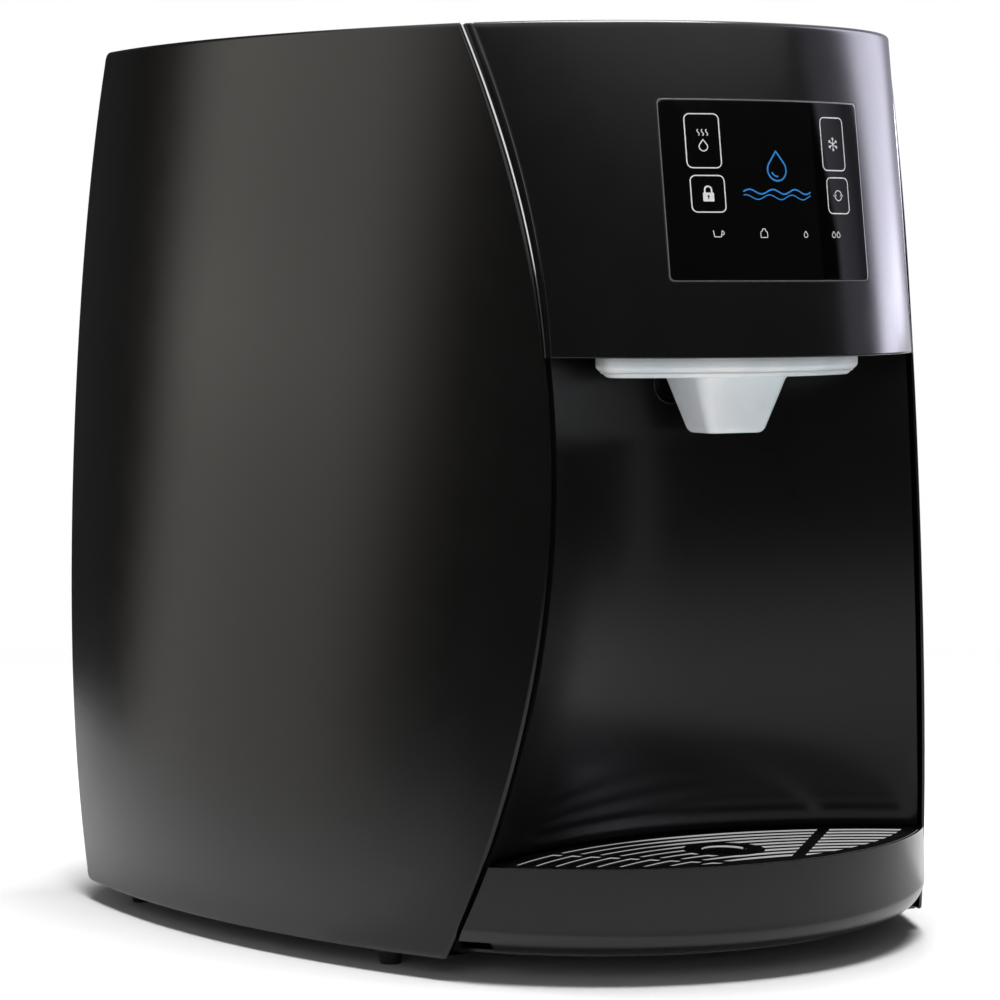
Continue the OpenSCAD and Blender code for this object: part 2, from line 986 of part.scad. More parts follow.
module spout(s) {
    tip = shroud_z + 7;
    color(steel)
        difference() {
            pipe([
                [s * valve_x, valve_y - valve_w / 2 - gap, spout_turn_z],
                [s * valve_x, nozzle_y, spout_turn_z],
                [s * spout_gap / 2, nozzle_y, spout_turn_z],
                [s * spout_gap / 2, nozzle_y, tip]
            ], spout_r);
            translate([s * spout_gap / 2, nozzle_y, tip - 1])
                cylinder(r = spout_r - spout_wall, h = spout_turn_z - tip);
        }
}

module hot_spout() {
    spout(-1);
}

module cold_spout() {
    spout(1);
}

// Drip tray: a lens-shaped bowl whose front skin runs on to the side panels' edges
module tray_round(d) {
    translate([0, tray_cy, 0])
        rotate_extrude() {
            translate([0, tray_z + tray_fillet])
                square([tray_r - d, tray_top - tray_z - tray_fillet]);
            translate([0, tray_z])
                square([tray_r - tray_fillet, tray_fillet + 1]);
            intersection() {
                translate([tray_r - tray_fillet, tray_z + tray_fillet])
                    circle(r = tray_fillet - d);
                translate([tray_r - tray_fillet - 1, tray_z])
                    square([tray_fillet + 1, tray_fillet + 1]);
            }
        }
}

module tray_eye(d, back = 0) {
    intersection() {
        translate([0, tray_cy])
            circle(r = tray_r - d);
        translate([0, bay_axis_y])
            circle(r = rim_r - tray_gap - d - back);
    }
}

module drip_tray() {
    color(black)
        difference() {
            intersection() {
                union() {
                    intersection() {
                        tray_round(0);
                        linear_extrude(tray_top)
                            tray_eye(0);
                    }
                    intersection() {
                        difference() {
                            tray_round(0);
                            translate([0, tray_cy, 0])
                                cylinder(r = tray_r - tray_wall, h = far);
                        }
                        in_front_of_bay(tray_gap);
                    }
                }
                union() {
                    inside_skins(panel_wall + tray_gap);
                    difference() {
                        between(-far / 2, 0);
                        behind_edge(tray_gap);
                    }
                }
            }
            intersection() {
                translate([0, 0, tray_z + tray_wall])
                    linear_extrude(far)
                        tray_eye(tray_wall + 1.5, lift_room);
                union() {
                    translate([0, tray_cy, 0])
                        cylinder(r = tray_r - tray_fillet, h = far);
                    level(tray_z + tray_fillet, far);
                }
            }
            translate([0, 0, tray_top - grille_t - gap])
                linear_extrude(far)
                    tray_eye(rim_w, lift_room);
        }
}

// Grille: arc slots about the bay's axis, crossed by two ribs, with a ringed middle hole
module grille_slots() {
    rows = floor(rim_r / slot_pitch);
    difference() {
        intersection() {
            tray_eye(rim_w + gap + grille_margin);
            union()
                for (i = [0 : rows]) {
                    r = rim_r - tray_gap - rim_w - gap - grille_margin - slot_w / 2 - i * slot_pitch;
                    if (r - slot_w > tray_front_y - bay_axis_y + grille_margin)
                        translate([0, bay_axis_y])
                            difference() {
                                circle(r = r + slot_w / 2);
                                circle(r = r - slot_w / 2);
                            }
                }
        }
        translate([0, nozzle_y])
            circle(r = ring_r);
        for (s = [-1, 1])
            translate([0, rib_root_y])
                rotate(-s * rib_angle)
                    translate([-rib_w / 2, 0])
                        square([rib_w, 2 * rim_r]);
    }
    translate([0, nozzle_y])
        circle(r = hole_r);
}

module drip_grille() {
    color(chrome)
        translate([0, 0, tray_top - grille_t])
            linear_extrude(grille_t)
                difference() {
                    intersection() {
                        tray_eye(rim_w + gap, lift_room);
                        square([2 * (skin_x(front_edge_y(tray_top), tray_top, panel_wall) - 6), far], center = true);
                    }
                    grille_slots();
                }
}

// Boards
module control_board() {
    color(board)
        fascia_frame()
            difference() {
                union() {
                    translate([-board_w / 2, -board_y + gap, board_up - board_h / 2])
                        cube([board_w, board_t, board_h]);
                    translate([-22, -board_y + gap, board_up - 14])
                        cube([28, 9, 20]);
                    translate([18, -board_y + gap, board_up - 22])
                        cube([14, 13, 26]);
                }
                board_corners()
                    rotate([90, 0, 0])
                        cylinder(r = 1.5, h = 20, center = true);
            }
}

power_x = -deck_half_w + sheet + 4;
power_y = 30;
power_w = 80;
power_h = 90;
power_z = 60;

module power_board() {
    color(board)
        union() {
            translate([power_x, power_y, power_z])
                cube([board_t, power_w, power_h]);
            translate([power_x, power_y + 8, power_z + 50])
                cube([16, 24, 30]);
            for (i = [0 : 2])
                translate([power_x, power_y + 10 + i * 22, power_z + 12])
                    cube([13, 16, 20]);
            for (y = [6, power_w - 6], z = [6, power_h - 6])
                translate([power_x - 4 + gap / 2, power_y + y, power_z + z])
                    rotate([0, 90, 0])
                        cylinder(r = 2.5, h = 5);
        }
}

// Mid deck: a folded shelf on two side legs, with holes for the tubes
deck_front_y = -50;
deck_leg_front = -foot_front + panel_screw_in + 6;
deck_leg_back = 130;

module mid_deck() {
    color(zinc)
        difference() {
            union() {
                translate([-deck_half_w, deck_front_y, deck_z])
                    cube([2 * deck_half_w, deck_back_y - deck_front_y, sheet]);
                for (s = [-1, 1])
                    translate([s > 0 ? deck_half_w - sheet : -deck_half_w, deck_leg_front, pan_top])
                        cube([sheet, deck_leg_back - deck_leg_front, deck_z - pan_top + sheet / 2]);
            }
            for (p = deck_holes())
                translate([p[0], p[1], deck_z - 1])
                    cylinder(r = p[2] + 2, h = sheet + 2);
        }
}

// Where tubes and lines pass the deck: place and radius
inlet_rise = [inlet_x - 62, 116];
feed_place = [hot_x + 15, 0];
drain_drop = [0, 56];
line_in = 34;
discharge_rise = [comp_x, service_y - line_in];
suction_drop = [comp_x + 38, comp_y + 12];
function deck_holes() = [
    [inlet_rise[0], inlet_rise[1], tube_r], [feed_place[0], feed_place[1], tube_r],
    [drain_drop[0], drain_drop[1], tube_r], [discharge_rise[0], discharge_rise[1], line_r],
    [suction_drop[0], suction_drop[1], line_r]
];

// A tank: a turned shell with rounded shoulders, moved inwards by d
module tank_half(r, h, shoulder, d) {
    intersection() {
        translate([0, d])
            square([r - d, h - 2 * d]);
        translate([0, h / 2])
            circle(r = norm([r, h / 2]) - shoulder - d);
    }
}

module tank(r, h, shoulder) {
    rotate_extrude()
        difference() {
            tank_half(r, h, shoulder, 0);
            tank_half(r, h, shoulder, tank_wall);
        }
}

module ports(places, z) {
    for (p = places)
        translate([p[0], p[1], z])
            cylinder(r = tube_r - 1, h = 4 * tank_wall, center = true);
}

// Cold side
module cold_tank() {
    color(steel)
        difference() {
            translate([0, 0, cold_z])
                tank(cold_r, cold_h, 3);
            ports([cold_out, cold_in], cold_top);
            ports([feed_place, drain_drop], cold_z);
        }
}

module cold_insulation() {
    color(foam)
        difference() {
            translate([0, 0, cold_base])
                cylinder(r = cold_outer_r, h = cold_top - cold_base);
            translate([0, 0, cold_z - gap])
                cylinder(r = cold_r + gap, h = far);
            for (p = [feed_place, drain_drop])
                translate([p[0], p[1], cold_base - 1])
                    cylinder(r = tube_r + gap, h = far);
            translate([0, suction_drop[1], cold_base + 30])
                rotate([0, 90, 0])
                    cylinder(r = line_r + gap, h = far);
        }
}

module cold_insulation_lid() {
    color(foam)
        difference() {
            translate([0, 0, cold_top + gap])
                cylinder(r = cold_outer_r, h = 14);
            for (p = [cold_out, cold_in])
                translate([p[0], p[1], cold_top])
                    cylinder(r = tube_r + gap, h = far);
        }
}

// Hot side
hot_out = [hot_x, -hot_r / 2];
hot_shoulder = 4;

module hot_tank() {
    color(steel)
        difference() {
            translate([hot_x, 0, hot_z])
                tank(hot_r, hot_h, hot_shoulder);
            ports([hot_out, feed_place], hot_top);
        }
}

module hot_insulation() {
    color(foam)
        difference() {
            translate([hot_x, 0, hot_z + 4])
                cylinder(r = hot_outer_r, h = hot_h - 8);
            translate([hot_x, 0, 0])
                cylinder(r = hot_r + gap, h = far);
            translate([hot_x, 0, hot_z + 14])
                rotate([-90, 0, 0])
                    cylinder(r = tube_r + gap, h = far);
        }
}

module hot_tank_stand() {
    color(zinc)
        difference() {
            translate([hot_x, 0, pan_top])
                cylinder(r = hot_r - 8, h = hot_stand_h + 0.9);
            translate([hot_x, 0, pan_top - 1])
                cylinder(r = hot_r - 10, h = far);
            translate([hot_x, 0, hot_z])
                rotate_extrude()
                    intersection() {
                        square([hot_r, hot_h]);
                        translate([0, hot_h / 2])
                            circle(r = norm([hot_r, hot_h / 2]) - hot_shoulder + gap);
                    }
            for (a = [0, 90])
                translate([hot_x, 0, pan_top + hot_stand_h / 2])
                    rotate([90, 0, a])
                        cylinder(r = hot_stand_h / 4, h = far, center = true);
        }
}

module heating_element() {
    color(copper)
        translate([hot_x, 0, hot_z - gap])
            mirror([0, 0, 1]) {
                cylinder(r = 18, h = 4);
                for (s = [-1, 1])
                    translate([s * 9, 0, 3])
                        cylinder(r = 2.5, h = 12);
            }
}

// Refrigeration
module comp_feet() {
    for (a = [45 : 90 : 315])
        translate([comp_x, comp_y, foot_h])
            rotate(a)
                translate([comp_r + 4, 0, 0])
                    children();
}

comp_dome_r = norm([comp_r, comp_h / 2]) - 12;
discharge_z = comp_z + 0.62 * comp_h;
suction_out = norm(suction_drop - [comp_x, comp_y]);
suction_end_z = comp_z + comp_h / 2 + sqrt(pow(comp_dome_r, 2) - pow(suction_out, 2)) + 2 * line_r;

module compressor() {
    color(rubber)
        difference() {
            union() {
                translate([comp_x, comp_y, comp_z])
                    rotate_extrude()
                        intersection() {
                            square([comp_r, comp_h]);
                            translate([0, comp_h / 2])
                                circle(r = comp_dome_r);
                        }
                intersection() {
                    translate([comp_x, comp_y, comp_z - 2])
                        cylinder(r = comp_r + 12, h = 4);
                    translate([comp_x, comp_y, 0])
                        for (a = [45, 135])
                            rotate(a)
                                translate([-far / 2, -12, 0])
                                    cube([far, 24, far]);
                }
            }
            comp_feet()
                cylinder(r = 5 + gap, h = 30);
        }
}

grommet_flange = 9;

module compressor_grommets() {
    color("#333333")
        comp_feet()
            difference() {
                translate([0, 0, sheet])
                    rotate_extrude() {
                        square([grommet_flange, comp_z - pan_top - 2 - gap]);
                        square([5, comp_z - pan_top + 4]);
                    }
                cylinder(r = 3 + gap / 2, h = 40, center = true);
            }
}

module compressor_bolts() {
    color(zinc)
        comp_feet()
            translate([0, 0, sheet + comp_z - pan_top + 4 + gap])
                screw(5, 3, 3, comp_z - pan_top + 4 + gap + sheet);
}

module condenser() {
    fins = floor(cond_w / fin_pitch);
    color("#3a3d40")
        union() {
            for (i = [0 : fins])
                translate([-cond_w / 2 + i * cond_w / fins, cond_y, cond_z])
                    translate([-0.4, 0, 0])
                        cube([0.8, cond_d, cond_h]);
            for (k = [0 : 4])
                translate([-cond_w / 2 - 6, cond_y + cond_d / 2, cond_z + cond_h * (k + 0.5) / 5])
                    rotate([0, 90, 0])
                        cylinder(r = line_r, h = cond_w + 12);
            for (k = [0 : 3])
                translate([(k % 2 == 0 ? 1 : -1) * (cond_w / 2 + 6), cond_y + cond_d / 2, cond_z + cond_h * (k + 1) / 5])
                    rotate([0, k % 2 == 0 ? 0 : 180, 0])
                        rotate([90, 0, 0])
                            rotate([0, 0, -90])
                                rotate_extrude(angle = 180)
                                    translate([cond_h / 10, 0])
                                        circle(r = line_r);
        }
}

fan_hole_r = fan_side / 2 - 4;
fan_hub_r = 21;
fan_pin_r = 2;
fan_bolt = fan_side / 2 - 7.5;

module fan_shroud() {
    color(zinc)
        difference() {
            translate([-cond_w / 2, shroud_y, cond_z])
                cube([cond_w, sheet, cond_h]);
            translate([0, shroud_y - 1, fan_z])
                rotate([-90, 0, 0])
                    cylinder(r = fan_hole_r, h = sheet + 2);
            fan_bolts()
                cylinder(r = 2 + gap / 2, h = far, center = true);
        }
}

module fan_bolts() {
    for (x = [-1, 1], z = [-1, 1])
        translate([x * fan_bolt, fan_y + fan_d, fan_z + z * fan_bolt])
            rotate([-90, 0, 0])
                children();
}

module fan_axis() {
    translate([0, fan_y, fan_z])
        rotate([-90, 0, 0])
            children();
}

module fan_frame() {
    color(rubber)
        difference() {
            union() {
                fan_axis()
                    difference() {
                        linear_extrude(fan_d)
                            rounded(fan_side, fan_side, 5);
                        translate([0, 0, -1])
                            cylinder(r = fan_hole_r, h = fan_d + 2);
                    }
                fan_axis() {
                    cylinder(r = fan_hub_r, h = 4);
                    cylinder(r = fan_pin_r, h = fan_d - 6);
                    for (a = [30 : 120 : 270])
                        rotate(a)
                            translate([fan_hub_r - 2, -3, 0])
                                cube([fan_hole_r - fan_hub_r + 4, 6, 3]);
                }
            }
            fan_bolts()
                cylinder(r = 2 + gap / 2, h = far, center = true);
        }
}

module fan_rotor() {
    blade_l = fan_hole_r - 2 - fan_hub_r + 4;
    color("#2c2e31")
        fan_axis()
            difference() {
                intersection() {
                    union() {
                        translate([0, 0, 5])
                            cylinder(r = fan_hub_r, h = fan_d - 8);
                        for (i = [0 : fan_blades - 1])
                            rotate(i * 360 / fan_blades)
                                translate([fan_hub_r - 4, 0, fan_d / 2 + 1])
                                    rotate([38, 0, 0])
                                        translate([0, -13, -0.9])
                                            cube([blade_l, 26, 1.8]);
                    }
                    translate([0, 0, 4.6])
                        cylinder(r = fan_hole_r - 2, h = fan_d - 5.6);
                }
                cylinder(r = fan_pin_r + running, h = fan_d - 5.5);
            }
}

module fan_screws() {
    color(zinc)
        fan_bolts()
            translate([0, 0, gap / 2])
                screw(4, 2.4, 2, fan_d + sheet + gap);
}

// Valves: a body on the bay's ceiling and a coil above it
module dispense_valve(s) {
    color("#e6e6e6")
        translate([s * valve_x, valve_y, valve_z]) {
            translate([-valve_w / 2, -valve_w / 2, 0])
                cube([valve_w, valve_w, 16]);
            translate([0, 0, 15])
                cylinder(r = valve_w / 2 - 2, h = valve_h - 15);
        }
}

module hot_valve() {
    dispense_valve(-1);
}

module cold_valve() {
    dispense_valve(1);
}

inlet_back = 24;
inlet_valve_y = service_y - 44;
inlet_reach = service_y - inlet_back - gap - inlet_valve_y;

module inlet_valve() {
    color("#e6e6e6")
        translate([inlet_x, inlet_valve_y, connect_z]) {
            translate([-12, -10, -12])
                cube([24, 10 + inlet_reach, 24]);
            translate([0, 0, 11])
                cylinder(r = 11, h = 22);
        }
}

// Water tubes
tube_side_y = -108;
lid_tube_z = cold_top + 26;

module tube(points) {
    color("#cfd8dc")
        pipe(points, tube_r);
}

module hot_tube() {
    rise = [hot_x, tube_side_y];
    tube([
        [hot_out[0], hot_out[1], hot_top + gap],
        [hot_out[0], hot_out[1], hot_top + 9],
        [rise[0], rise[1], hot_top + 9],
        [rise[0], rise[1], valve_z + 8],
        [rise[0], valve_y, valve_z + 8],
        [-valve_x - valve_w / 2 - gap, valve_y, valve_z + 8]
    ]);
}

module cold_tube() {
    tube([
        [cold_out[0], cold_out[1], cold_top + gap],
        [cold_out[0], cold_out[1], lid_tube_z],
        [valve_x + valve_w, tube_side_y, lid_tube_z],
        [valve_x + valve_w, tube_side_y, valve_z + 8],
        [valve_x + valve_w, valve_y, valve_z + 8],
        [valve_x + valve_w / 2 + gap, valve_y, valve_z + 8]
    ]);
}

module inlet_tube() {
    tube([
        [inlet_x - 12 - gap, inlet_valve_y, connect_z],
        [inlet_rise[0], inlet_valve_y, connect_z],
        [inlet_rise[0], inlet_rise[1], connect_z + 20],
        [inlet_rise[0], inlet_rise[1], lid_tube_z],
        [cold_in[0], cold_in[1], lid_tube_z],
        [cold_in[0], cold_in[1], cold_top + gap]
    ]);
}

module hot_feed_tube() {
    tube([[feed_place[0], feed_place[1], cold_z - gap], [feed_place[0], feed_place[1], hot_top + gap]]);
}

module hot_drain_tube() {
    tube([
        [hot_x, hot_r + gap, hot_z + 14],
        [hot_x, hot_outer_r + 22, hot_z + 14],
        [hot_drain_x, service_y - 44, drain_z],
        [hot_drain_x, service_y - 18 - gap, drain_z]
    ]);
}

module cold_drain_tube() {
    tube([
        [drain_drop[0], drain_drop[1], cold_z - gap],
        [drain_drop[0], drain_drop[1], drain_z + 30],
        [cold_drain_x, service_y - 44, drain_z],
        [cold_drain_x, service_y - 18 - gap, drain_z]
    ]);
}

module refrigerant_lines() {
    color(copper) {
        pipe([
            [discharge_rise[0], comp_y + comp_r + gap, discharge_z],
            [discharge_rise[0], discharge_rise[1], discharge_z],
            [discharge_rise[0], discharge_rise[1], cond_z + 40],
            [discharge_rise[0], cond_y - gap, cond_z + 40]
        ], line_r);
        pipe([
            [sqrt(pow(cold_r, 2) - pow(suction_drop[1] - line_r, 2)) + gap, suction_drop[1], cold_base + 30],
            [suction_drop[0], suction_drop[1], cold_base + 30],
            [suction_drop[0], suction_drop[1], suction_end_z]
        ], line_r);
    }
}

// Connections on the service panel, each along +Y from the panel's outer face
module at_service(x, z) {
    translate([x, service_y, z])
        rotate([-90, 0, 0])
            children();
}

inlet_out = 16;

module water_inlet() {
    color("#dcdedf")
        at_service(inlet_x, connect_z)
            difference() {
                union() {
                    translate([0, 0, -inlet_back])
                        cylinder(r = inlet_body_r, h = inlet_back + inlet_out);
                    translate([0, 0, gap / 2])
                        cylinder(r = inlet_body_r + 4, h = 5, $fn = 6);
                    translate([0, 0, -sheet - gap / 2 - 5])
                        cylinder(r = inlet_body_r + 4, h = 5, $fn = 6);
                }
                translate([0, 0, inlet_out - inlet_depth])
                    cylinder(r = inlet_tube_r, h = inlet_depth + 1);
            }
}

module drain_outlet(x) {
    color("#dcdedf")
        at_service(x, drain_z)
            difference() {
                union() {
                    translate([0, 0, -18])
                        cylinder(r = spigot_r, h = 18 + spigot_l);
                    translate([0, 0, gap / 2])
                        cylinder(r = spigot_r + 4, h = 3);
                    translate([0, 0, -sheet - gap / 2 - 4])
                        cylinder(r = spigot_r + 4, h = 4, $fn = 6);
                }
                translate([0, 0, -1])
                    cylinder(r = spigot_r - 2, h = spigot_l + 2);
            }
}

module hot_drain_outlet() {
    drain_outlet(hot_drain_x);
}

module cold_drain_outlet() {
    drain_outlet(cold_drain_x);
}

module drain_cap(x) {
    cap_l = spigot_l - 3 + cap_wall;
    at_service(x, drain_z)
        translate([0, 0, 3 + gap])
            difference() {
                union() {
                    cylinder(r = spigot_r + cap_wall - 0.6, h = cap_l);
                    for (a = [0 : 30 : 330])
                        rotate(a)
                            translate([spigot_r + cap_wall - 1, 0, 0])
                                cylinder(r = 1.2, h = cap_l - 1.5);
                }
                translate([0, 0, -1])
                    cylinder(r = spigot_r + gap, h = spigot_l - 3 + 1);
            }
}

module hot_drain_cap() {
    color("#a33026")
        drain_cap(hot_drain_x);
}

module cold_drain_cap() {
    color("#2a5f9e")
        drain_cap(cold_drain_x);
}

// Mains inlet: three blades in a recess with two cut corners
recess_w = 24.6;
recess_h = 16.6;
recess_d = 19;

module mains_inlet() {
    color(rubber)
        at_service(mains_x, connect_z)
            union() {
                difference() {
                    union() {
                        translate([0, 0, gap / 2])
                            linear_extrude(2.5)
                                rounded(mains_w, mains_h, 3);
                        translate([0, 0, -22])
                            linear_extrude(23)
                                square([mains_w - 3 - 2 * gap, mains_h - 3 - 2 * gap], center = true);
                    }
                    translate([0, 0, 2.5 + gap / 2 - recess_d])
                        linear_extrude(recess_d + 1)
                            polygon([
                                [-recess_w / 2, recess_h / 2], [recess_w / 2, recess_h / 2],
                                [recess_w / 2, -recess_h / 2 + 4], [recess_w / 2 - 4, -recess_h / 2],
                                [-recess_w / 2 + 4, -recess_h / 2], [-recess_w / 2, -recess_h / 2 + 4]
                            ]);
                }
                for (p = [[-7, 2], [7, 2], [0, -2]])
                    translate([p[0] - 1, p[1] - 2, -18])
                        cube([2, 4, 13]);
            }
}

// Rocker switch: a housing with a round hollow, and a rocker on a cross pin
rocker_r = 8.6;
rocker_w = 9.6;
rocker_pin_r = 1.2;
pivot_y = service_y - 4;

module switch_pivot(x) {
    translate([x, pivot_y, connect_z])
        rotate([0, 90, 0])
            children();
}

module switch_housing(x) {
    color(rubber)
        difference() {
            union() {
                at_service(x, connect_z) {
                    translate([0, 0, gap / 2])
                        linear_extrude(1.6)
                            rounded(switch_w, switch_h, 1.5);
                    translate([0, 0, -24])
                        linear_extrude(25)
                            square([switch_w - 2 * switch_in, switch_h - 2 * switch_in], center = true);
                }
            }
            switch_pivot(x)
                cylinder(r = rocker_r + gap, h = rocker_w + 2 * gap, center = true);
            switch_pivot(x)
                cylinder(r = rocker_pin_r + running, h = rocker_w + 4, center = true);
        }
}

module hot_switch_housing() {
    switch_housing(hot_switch_x);
}

module cold_switch_housing() {
    switch_housing(cold_switch_x);
}

module switch_rocker(x) {
    face = 6.4;
    translate([x, pivot_y, connect_z])
        rotate([rocker_tilt, 0, 0])
            union() {
                rotate([0, 90, 0])
                    cylinder(r = rocker_pin_r, h = rocker_w + 3, center = true);
                intersection() {
                    rotate([0, 90, 0])
                        cylinder(r = rocker_r, h = rocker_w, center = true);
                    across(-rocker_w / 2, rocker_w / 2)
                        polygon([
                            [-4, -rocker_r], [face + 1, -rocker_r], [face - 0.6, 0], [face + 1, rocker_r], [-4, rocker_r]
                        ]);
                }
            }
}

module hot_switch_rocker() {
    color("#b3261d")
        switch_rocker(hot_switch_x);
}

module cold_switch_rocker() {
    color("#1f7a3c")
        switch_rocker(cold_switch_x);
}

left_side_panel();
right_side_panel();
front_fascia();
touch_panel();
left_trim_strip();
right_trim_strip();
top_cover();
top_cover_screws();
rear_cover();
rear_cover_screws();
service_panel();
base_pan();
feet();
foot_screws();
panel_screws();
bay_liner();
cup_sensor();
nozzle_cover();
hot_spout();
cold_spout();
drip_tray();
drip_grille();
control_board();
power_board();
mid_deck();
cold_tank();
cold_insulation();
cold_insulation_lid();
hot_tank();
hot_insulation();
hot_tank_stand();
heating_element();
compressor();
compressor_grommets();
compressor_bolts();
condenser();
fan_shroud();
fan_frame();
fan_rotor();
fan_screws();
hot_valve();
cold_valve();
inlet_valve();
hot_tube();
cold_tube();
inlet_tube();
hot_feed_tube();
hot_drain_tube();
cold_drain_tube();
refrigerant_lines();
water_inlet();
hot_drain_outlet();
cold_drain_outlet();
hot_drain_cap();
cold_drain_cap();
mains_inlet();
hot_switch_housing();
cold_switch_housing();
hot_switch_rocker();
cold_switch_rocker();
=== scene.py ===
# %% [markdown]
# # A countertop water dispenser
#
# The packed CAD model comes in as a fixed frame: one object for each solid, in metres, with the front
# towards -Y and the table at Z = 0. This lesson dresses it. The large moulded shells are made again as
# smooth surfaces with rounded edges, the small fittings keep their solids with softened edges, and
# every piece gets a finish made of nodes.

# %% Load the frame
import json
from math import acos, asin, ceil, copysign, cos, degrees, hypot, pi, radians, sin, sqrt, tan

import bmesh
import bpy
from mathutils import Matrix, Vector


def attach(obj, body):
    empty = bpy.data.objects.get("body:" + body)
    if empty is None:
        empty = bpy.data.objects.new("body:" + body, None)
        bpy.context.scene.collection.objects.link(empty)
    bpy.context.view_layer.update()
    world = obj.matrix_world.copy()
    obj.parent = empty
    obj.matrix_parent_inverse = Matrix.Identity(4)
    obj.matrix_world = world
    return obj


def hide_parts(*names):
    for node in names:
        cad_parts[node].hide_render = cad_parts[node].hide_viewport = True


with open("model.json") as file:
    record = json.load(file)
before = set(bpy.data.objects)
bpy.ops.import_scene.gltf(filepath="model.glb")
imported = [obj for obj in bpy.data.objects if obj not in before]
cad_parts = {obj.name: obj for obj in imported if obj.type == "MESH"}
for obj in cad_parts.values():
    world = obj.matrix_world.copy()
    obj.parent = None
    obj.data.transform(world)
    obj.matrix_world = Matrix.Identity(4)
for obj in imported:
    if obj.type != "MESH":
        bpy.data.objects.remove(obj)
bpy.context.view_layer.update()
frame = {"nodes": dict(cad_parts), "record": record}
scene = bpy.context.scene

# %% [markdown]
# ## The camera
#
# The photograph was taken from the front left, a little below the casing's top, with a long lens. A long
# lens keeps the upright edges nearly parallel. The numbers come from fitting the casing's edges to the
# picture, so the camera is placed by numbers and not aimed by a constraint.

# %% Camera
CAMERA_AT, CAMERA_TURN, CAMERA_DIP = (-0.9790, -1.6486, 0.3382), 29.986, 3.648
CAMERA_LENS, SENSOR_W, FARTHEST = 132.72, 36.0, 50.0


def new_object(name, data):
    """An object for this data, linked into the scene."""
    thing = bpy.data.objects.new(name, data)
    scene.collection.objects.link(thing)
    return thing


camera = new_object("portrait_camera", bpy.data.cameras.new("portrait_camera"))
camera.data.sensor_fit = "HORIZONTAL"
camera.data.sensor_width, camera.data.lens, camera.data.clip_end = SENSOR_W, CAMERA_LENS, FARTHEST
camera.location = CAMERA_AT
camera.rotation_euler = (radians(90.0 - CAMERA_DIP), 0.0, radians(-CAMERA_TURN))
scene.camera = camera
print("camera", CAMERA_LENS, "mm, turned", CAMERA_TURN, "degrees")

# %% [markdown]
# ## Shader maths as expressions
#
# A finish is a graph of nodes. Drawing it by hand is clear, but in a script each sum would take four lines.
# This class wraps one socket. Its operators add a Math node and give back the result, and its `node` method
# adds any other node, sets the settings first and then fills or links the sockets.


# %% A socket that can be used in sums
class Wire:
    def __init__(self, tree, socket=None):
        self.tree = tree
        self.socket = socket

    def node(self, kind, settings=None, output=0, **values):
        made = self.tree.nodes.new(kind)
        for key, value in (settings or {}).items():
            if key == "stops":
                ramp = made.color_ramp.elements
                while len(ramp) < len(value):
                    ramp.new(0.5)
                for stop, (place, colour) in zip(ramp, value):
                    stop.position = place
                    stop.color = colour
            else:
                setattr(made, key, value)
        for key, value in values.items():
            self.feed(made.inputs[int(key[1:]) if key[0] == "_" else key.replace("_", " ")], value)
        return Wire(self.tree, made.outputs[output] if made.outputs else None)

    def feed(self, socket, value):
        """Links a wire or sets a value; a colour can be given as one grey level."""
        if isinstance(value, Wire):
            self.tree.links.new(value.socket, socket)
        else:
            socket.default_value = grey(value) if socket.type == "RGBA" and isinstance(value, float) else value

    def sum(self, operation, first, second):
        return self.node("ShaderNodeMath", {"operation": operation}, _0=first, _1=second)

    def __add__(self, other):
        return self.sum("ADD", self, other)

    __radd__ = __add__

    def __sub__(self, other):
        return self.sum("SUBTRACT", self, other)

    def __rsub__(self, other):
        return self.sum("SUBTRACT", other, self)

    def __mul__(self, other):
        return self.sum("MULTIPLY", self, other)

    __rmul__ = __mul__

    def __truediv__(self, other):
        return self.sum("DIVIDE", self, other)

    def __rtruediv__(self, other):
        return self.sum("DIVIDE", other, self)

    def __gt__(self, other):
        return self.sum("GREATER_THAN", self, other)

    def mix(self, first, second):
        return self.node("ShaderNodeMix", {"data_type": "RGBA"}, output=2, _0=self, _6=first, _7=second)

    def axes(self):
        return [self.node("ShaderNodeSeparateXYZ", output=axis, Vector=self) for axis in "XYZ"]


def grey(level, warm=0.0):
    return (level * (1 + warm), level, level * (1 - warm), 1.0)


print("Wire has", len([name for name in vars(Wire) if name.startswith("__")]), "operators and methods")

# %% [markdown]
# ## Finishes
#
# Nearly everything here is moulded plastic, so one recipe makes most finishes. A real moulding is never one
# flat colour: the tool's texture shows as a fine grain, the gloss drifts a little over the face, and
# handling leaves faint paler patches. Noise at three sizes gives all of that: millimetres for the grain in
# the bump, centimetres for gloss, and decimetres for tone.


# %% The recipes
PATCH_SCALE, TONE_SHARE, TOOTH_GLOSS, TOOTH_DEPTH = 55.0, 0.75, 0.05, 0.0002
LINE_SHARE, LINE_BUMP, LINE_DEPTH, TARNISH_SCALE = 0.6, 0.06, 0.0001, 40.0
CRYSTAL_SCALE, CRYSTAL_DRIFT = 140.0, 0.2


def new_finish(name):
    """An empty material, a wire to add nodes with, and the place on the piece as a socket."""
    material = bpy.data.materials.new(name)
    material.use_nodes = True
    material.node_tree.nodes.clear()
    wire = Wire(material.node_tree)
    return material, wire, wire.node("ShaderNodeTexCoord", output="Object")


def noise(place, scale, detail=2.0, **more):
    return place.node("ShaderNodeTexNoise", Vector=place, Scale=scale, Detail=detail, **more)


def close_finish(wire, **shader):
    bsdf = wire.node("ShaderNodeBsdfPrincipled", **shader)
    wire.node("ShaderNodeOutputMaterial", Surface=bsdf)


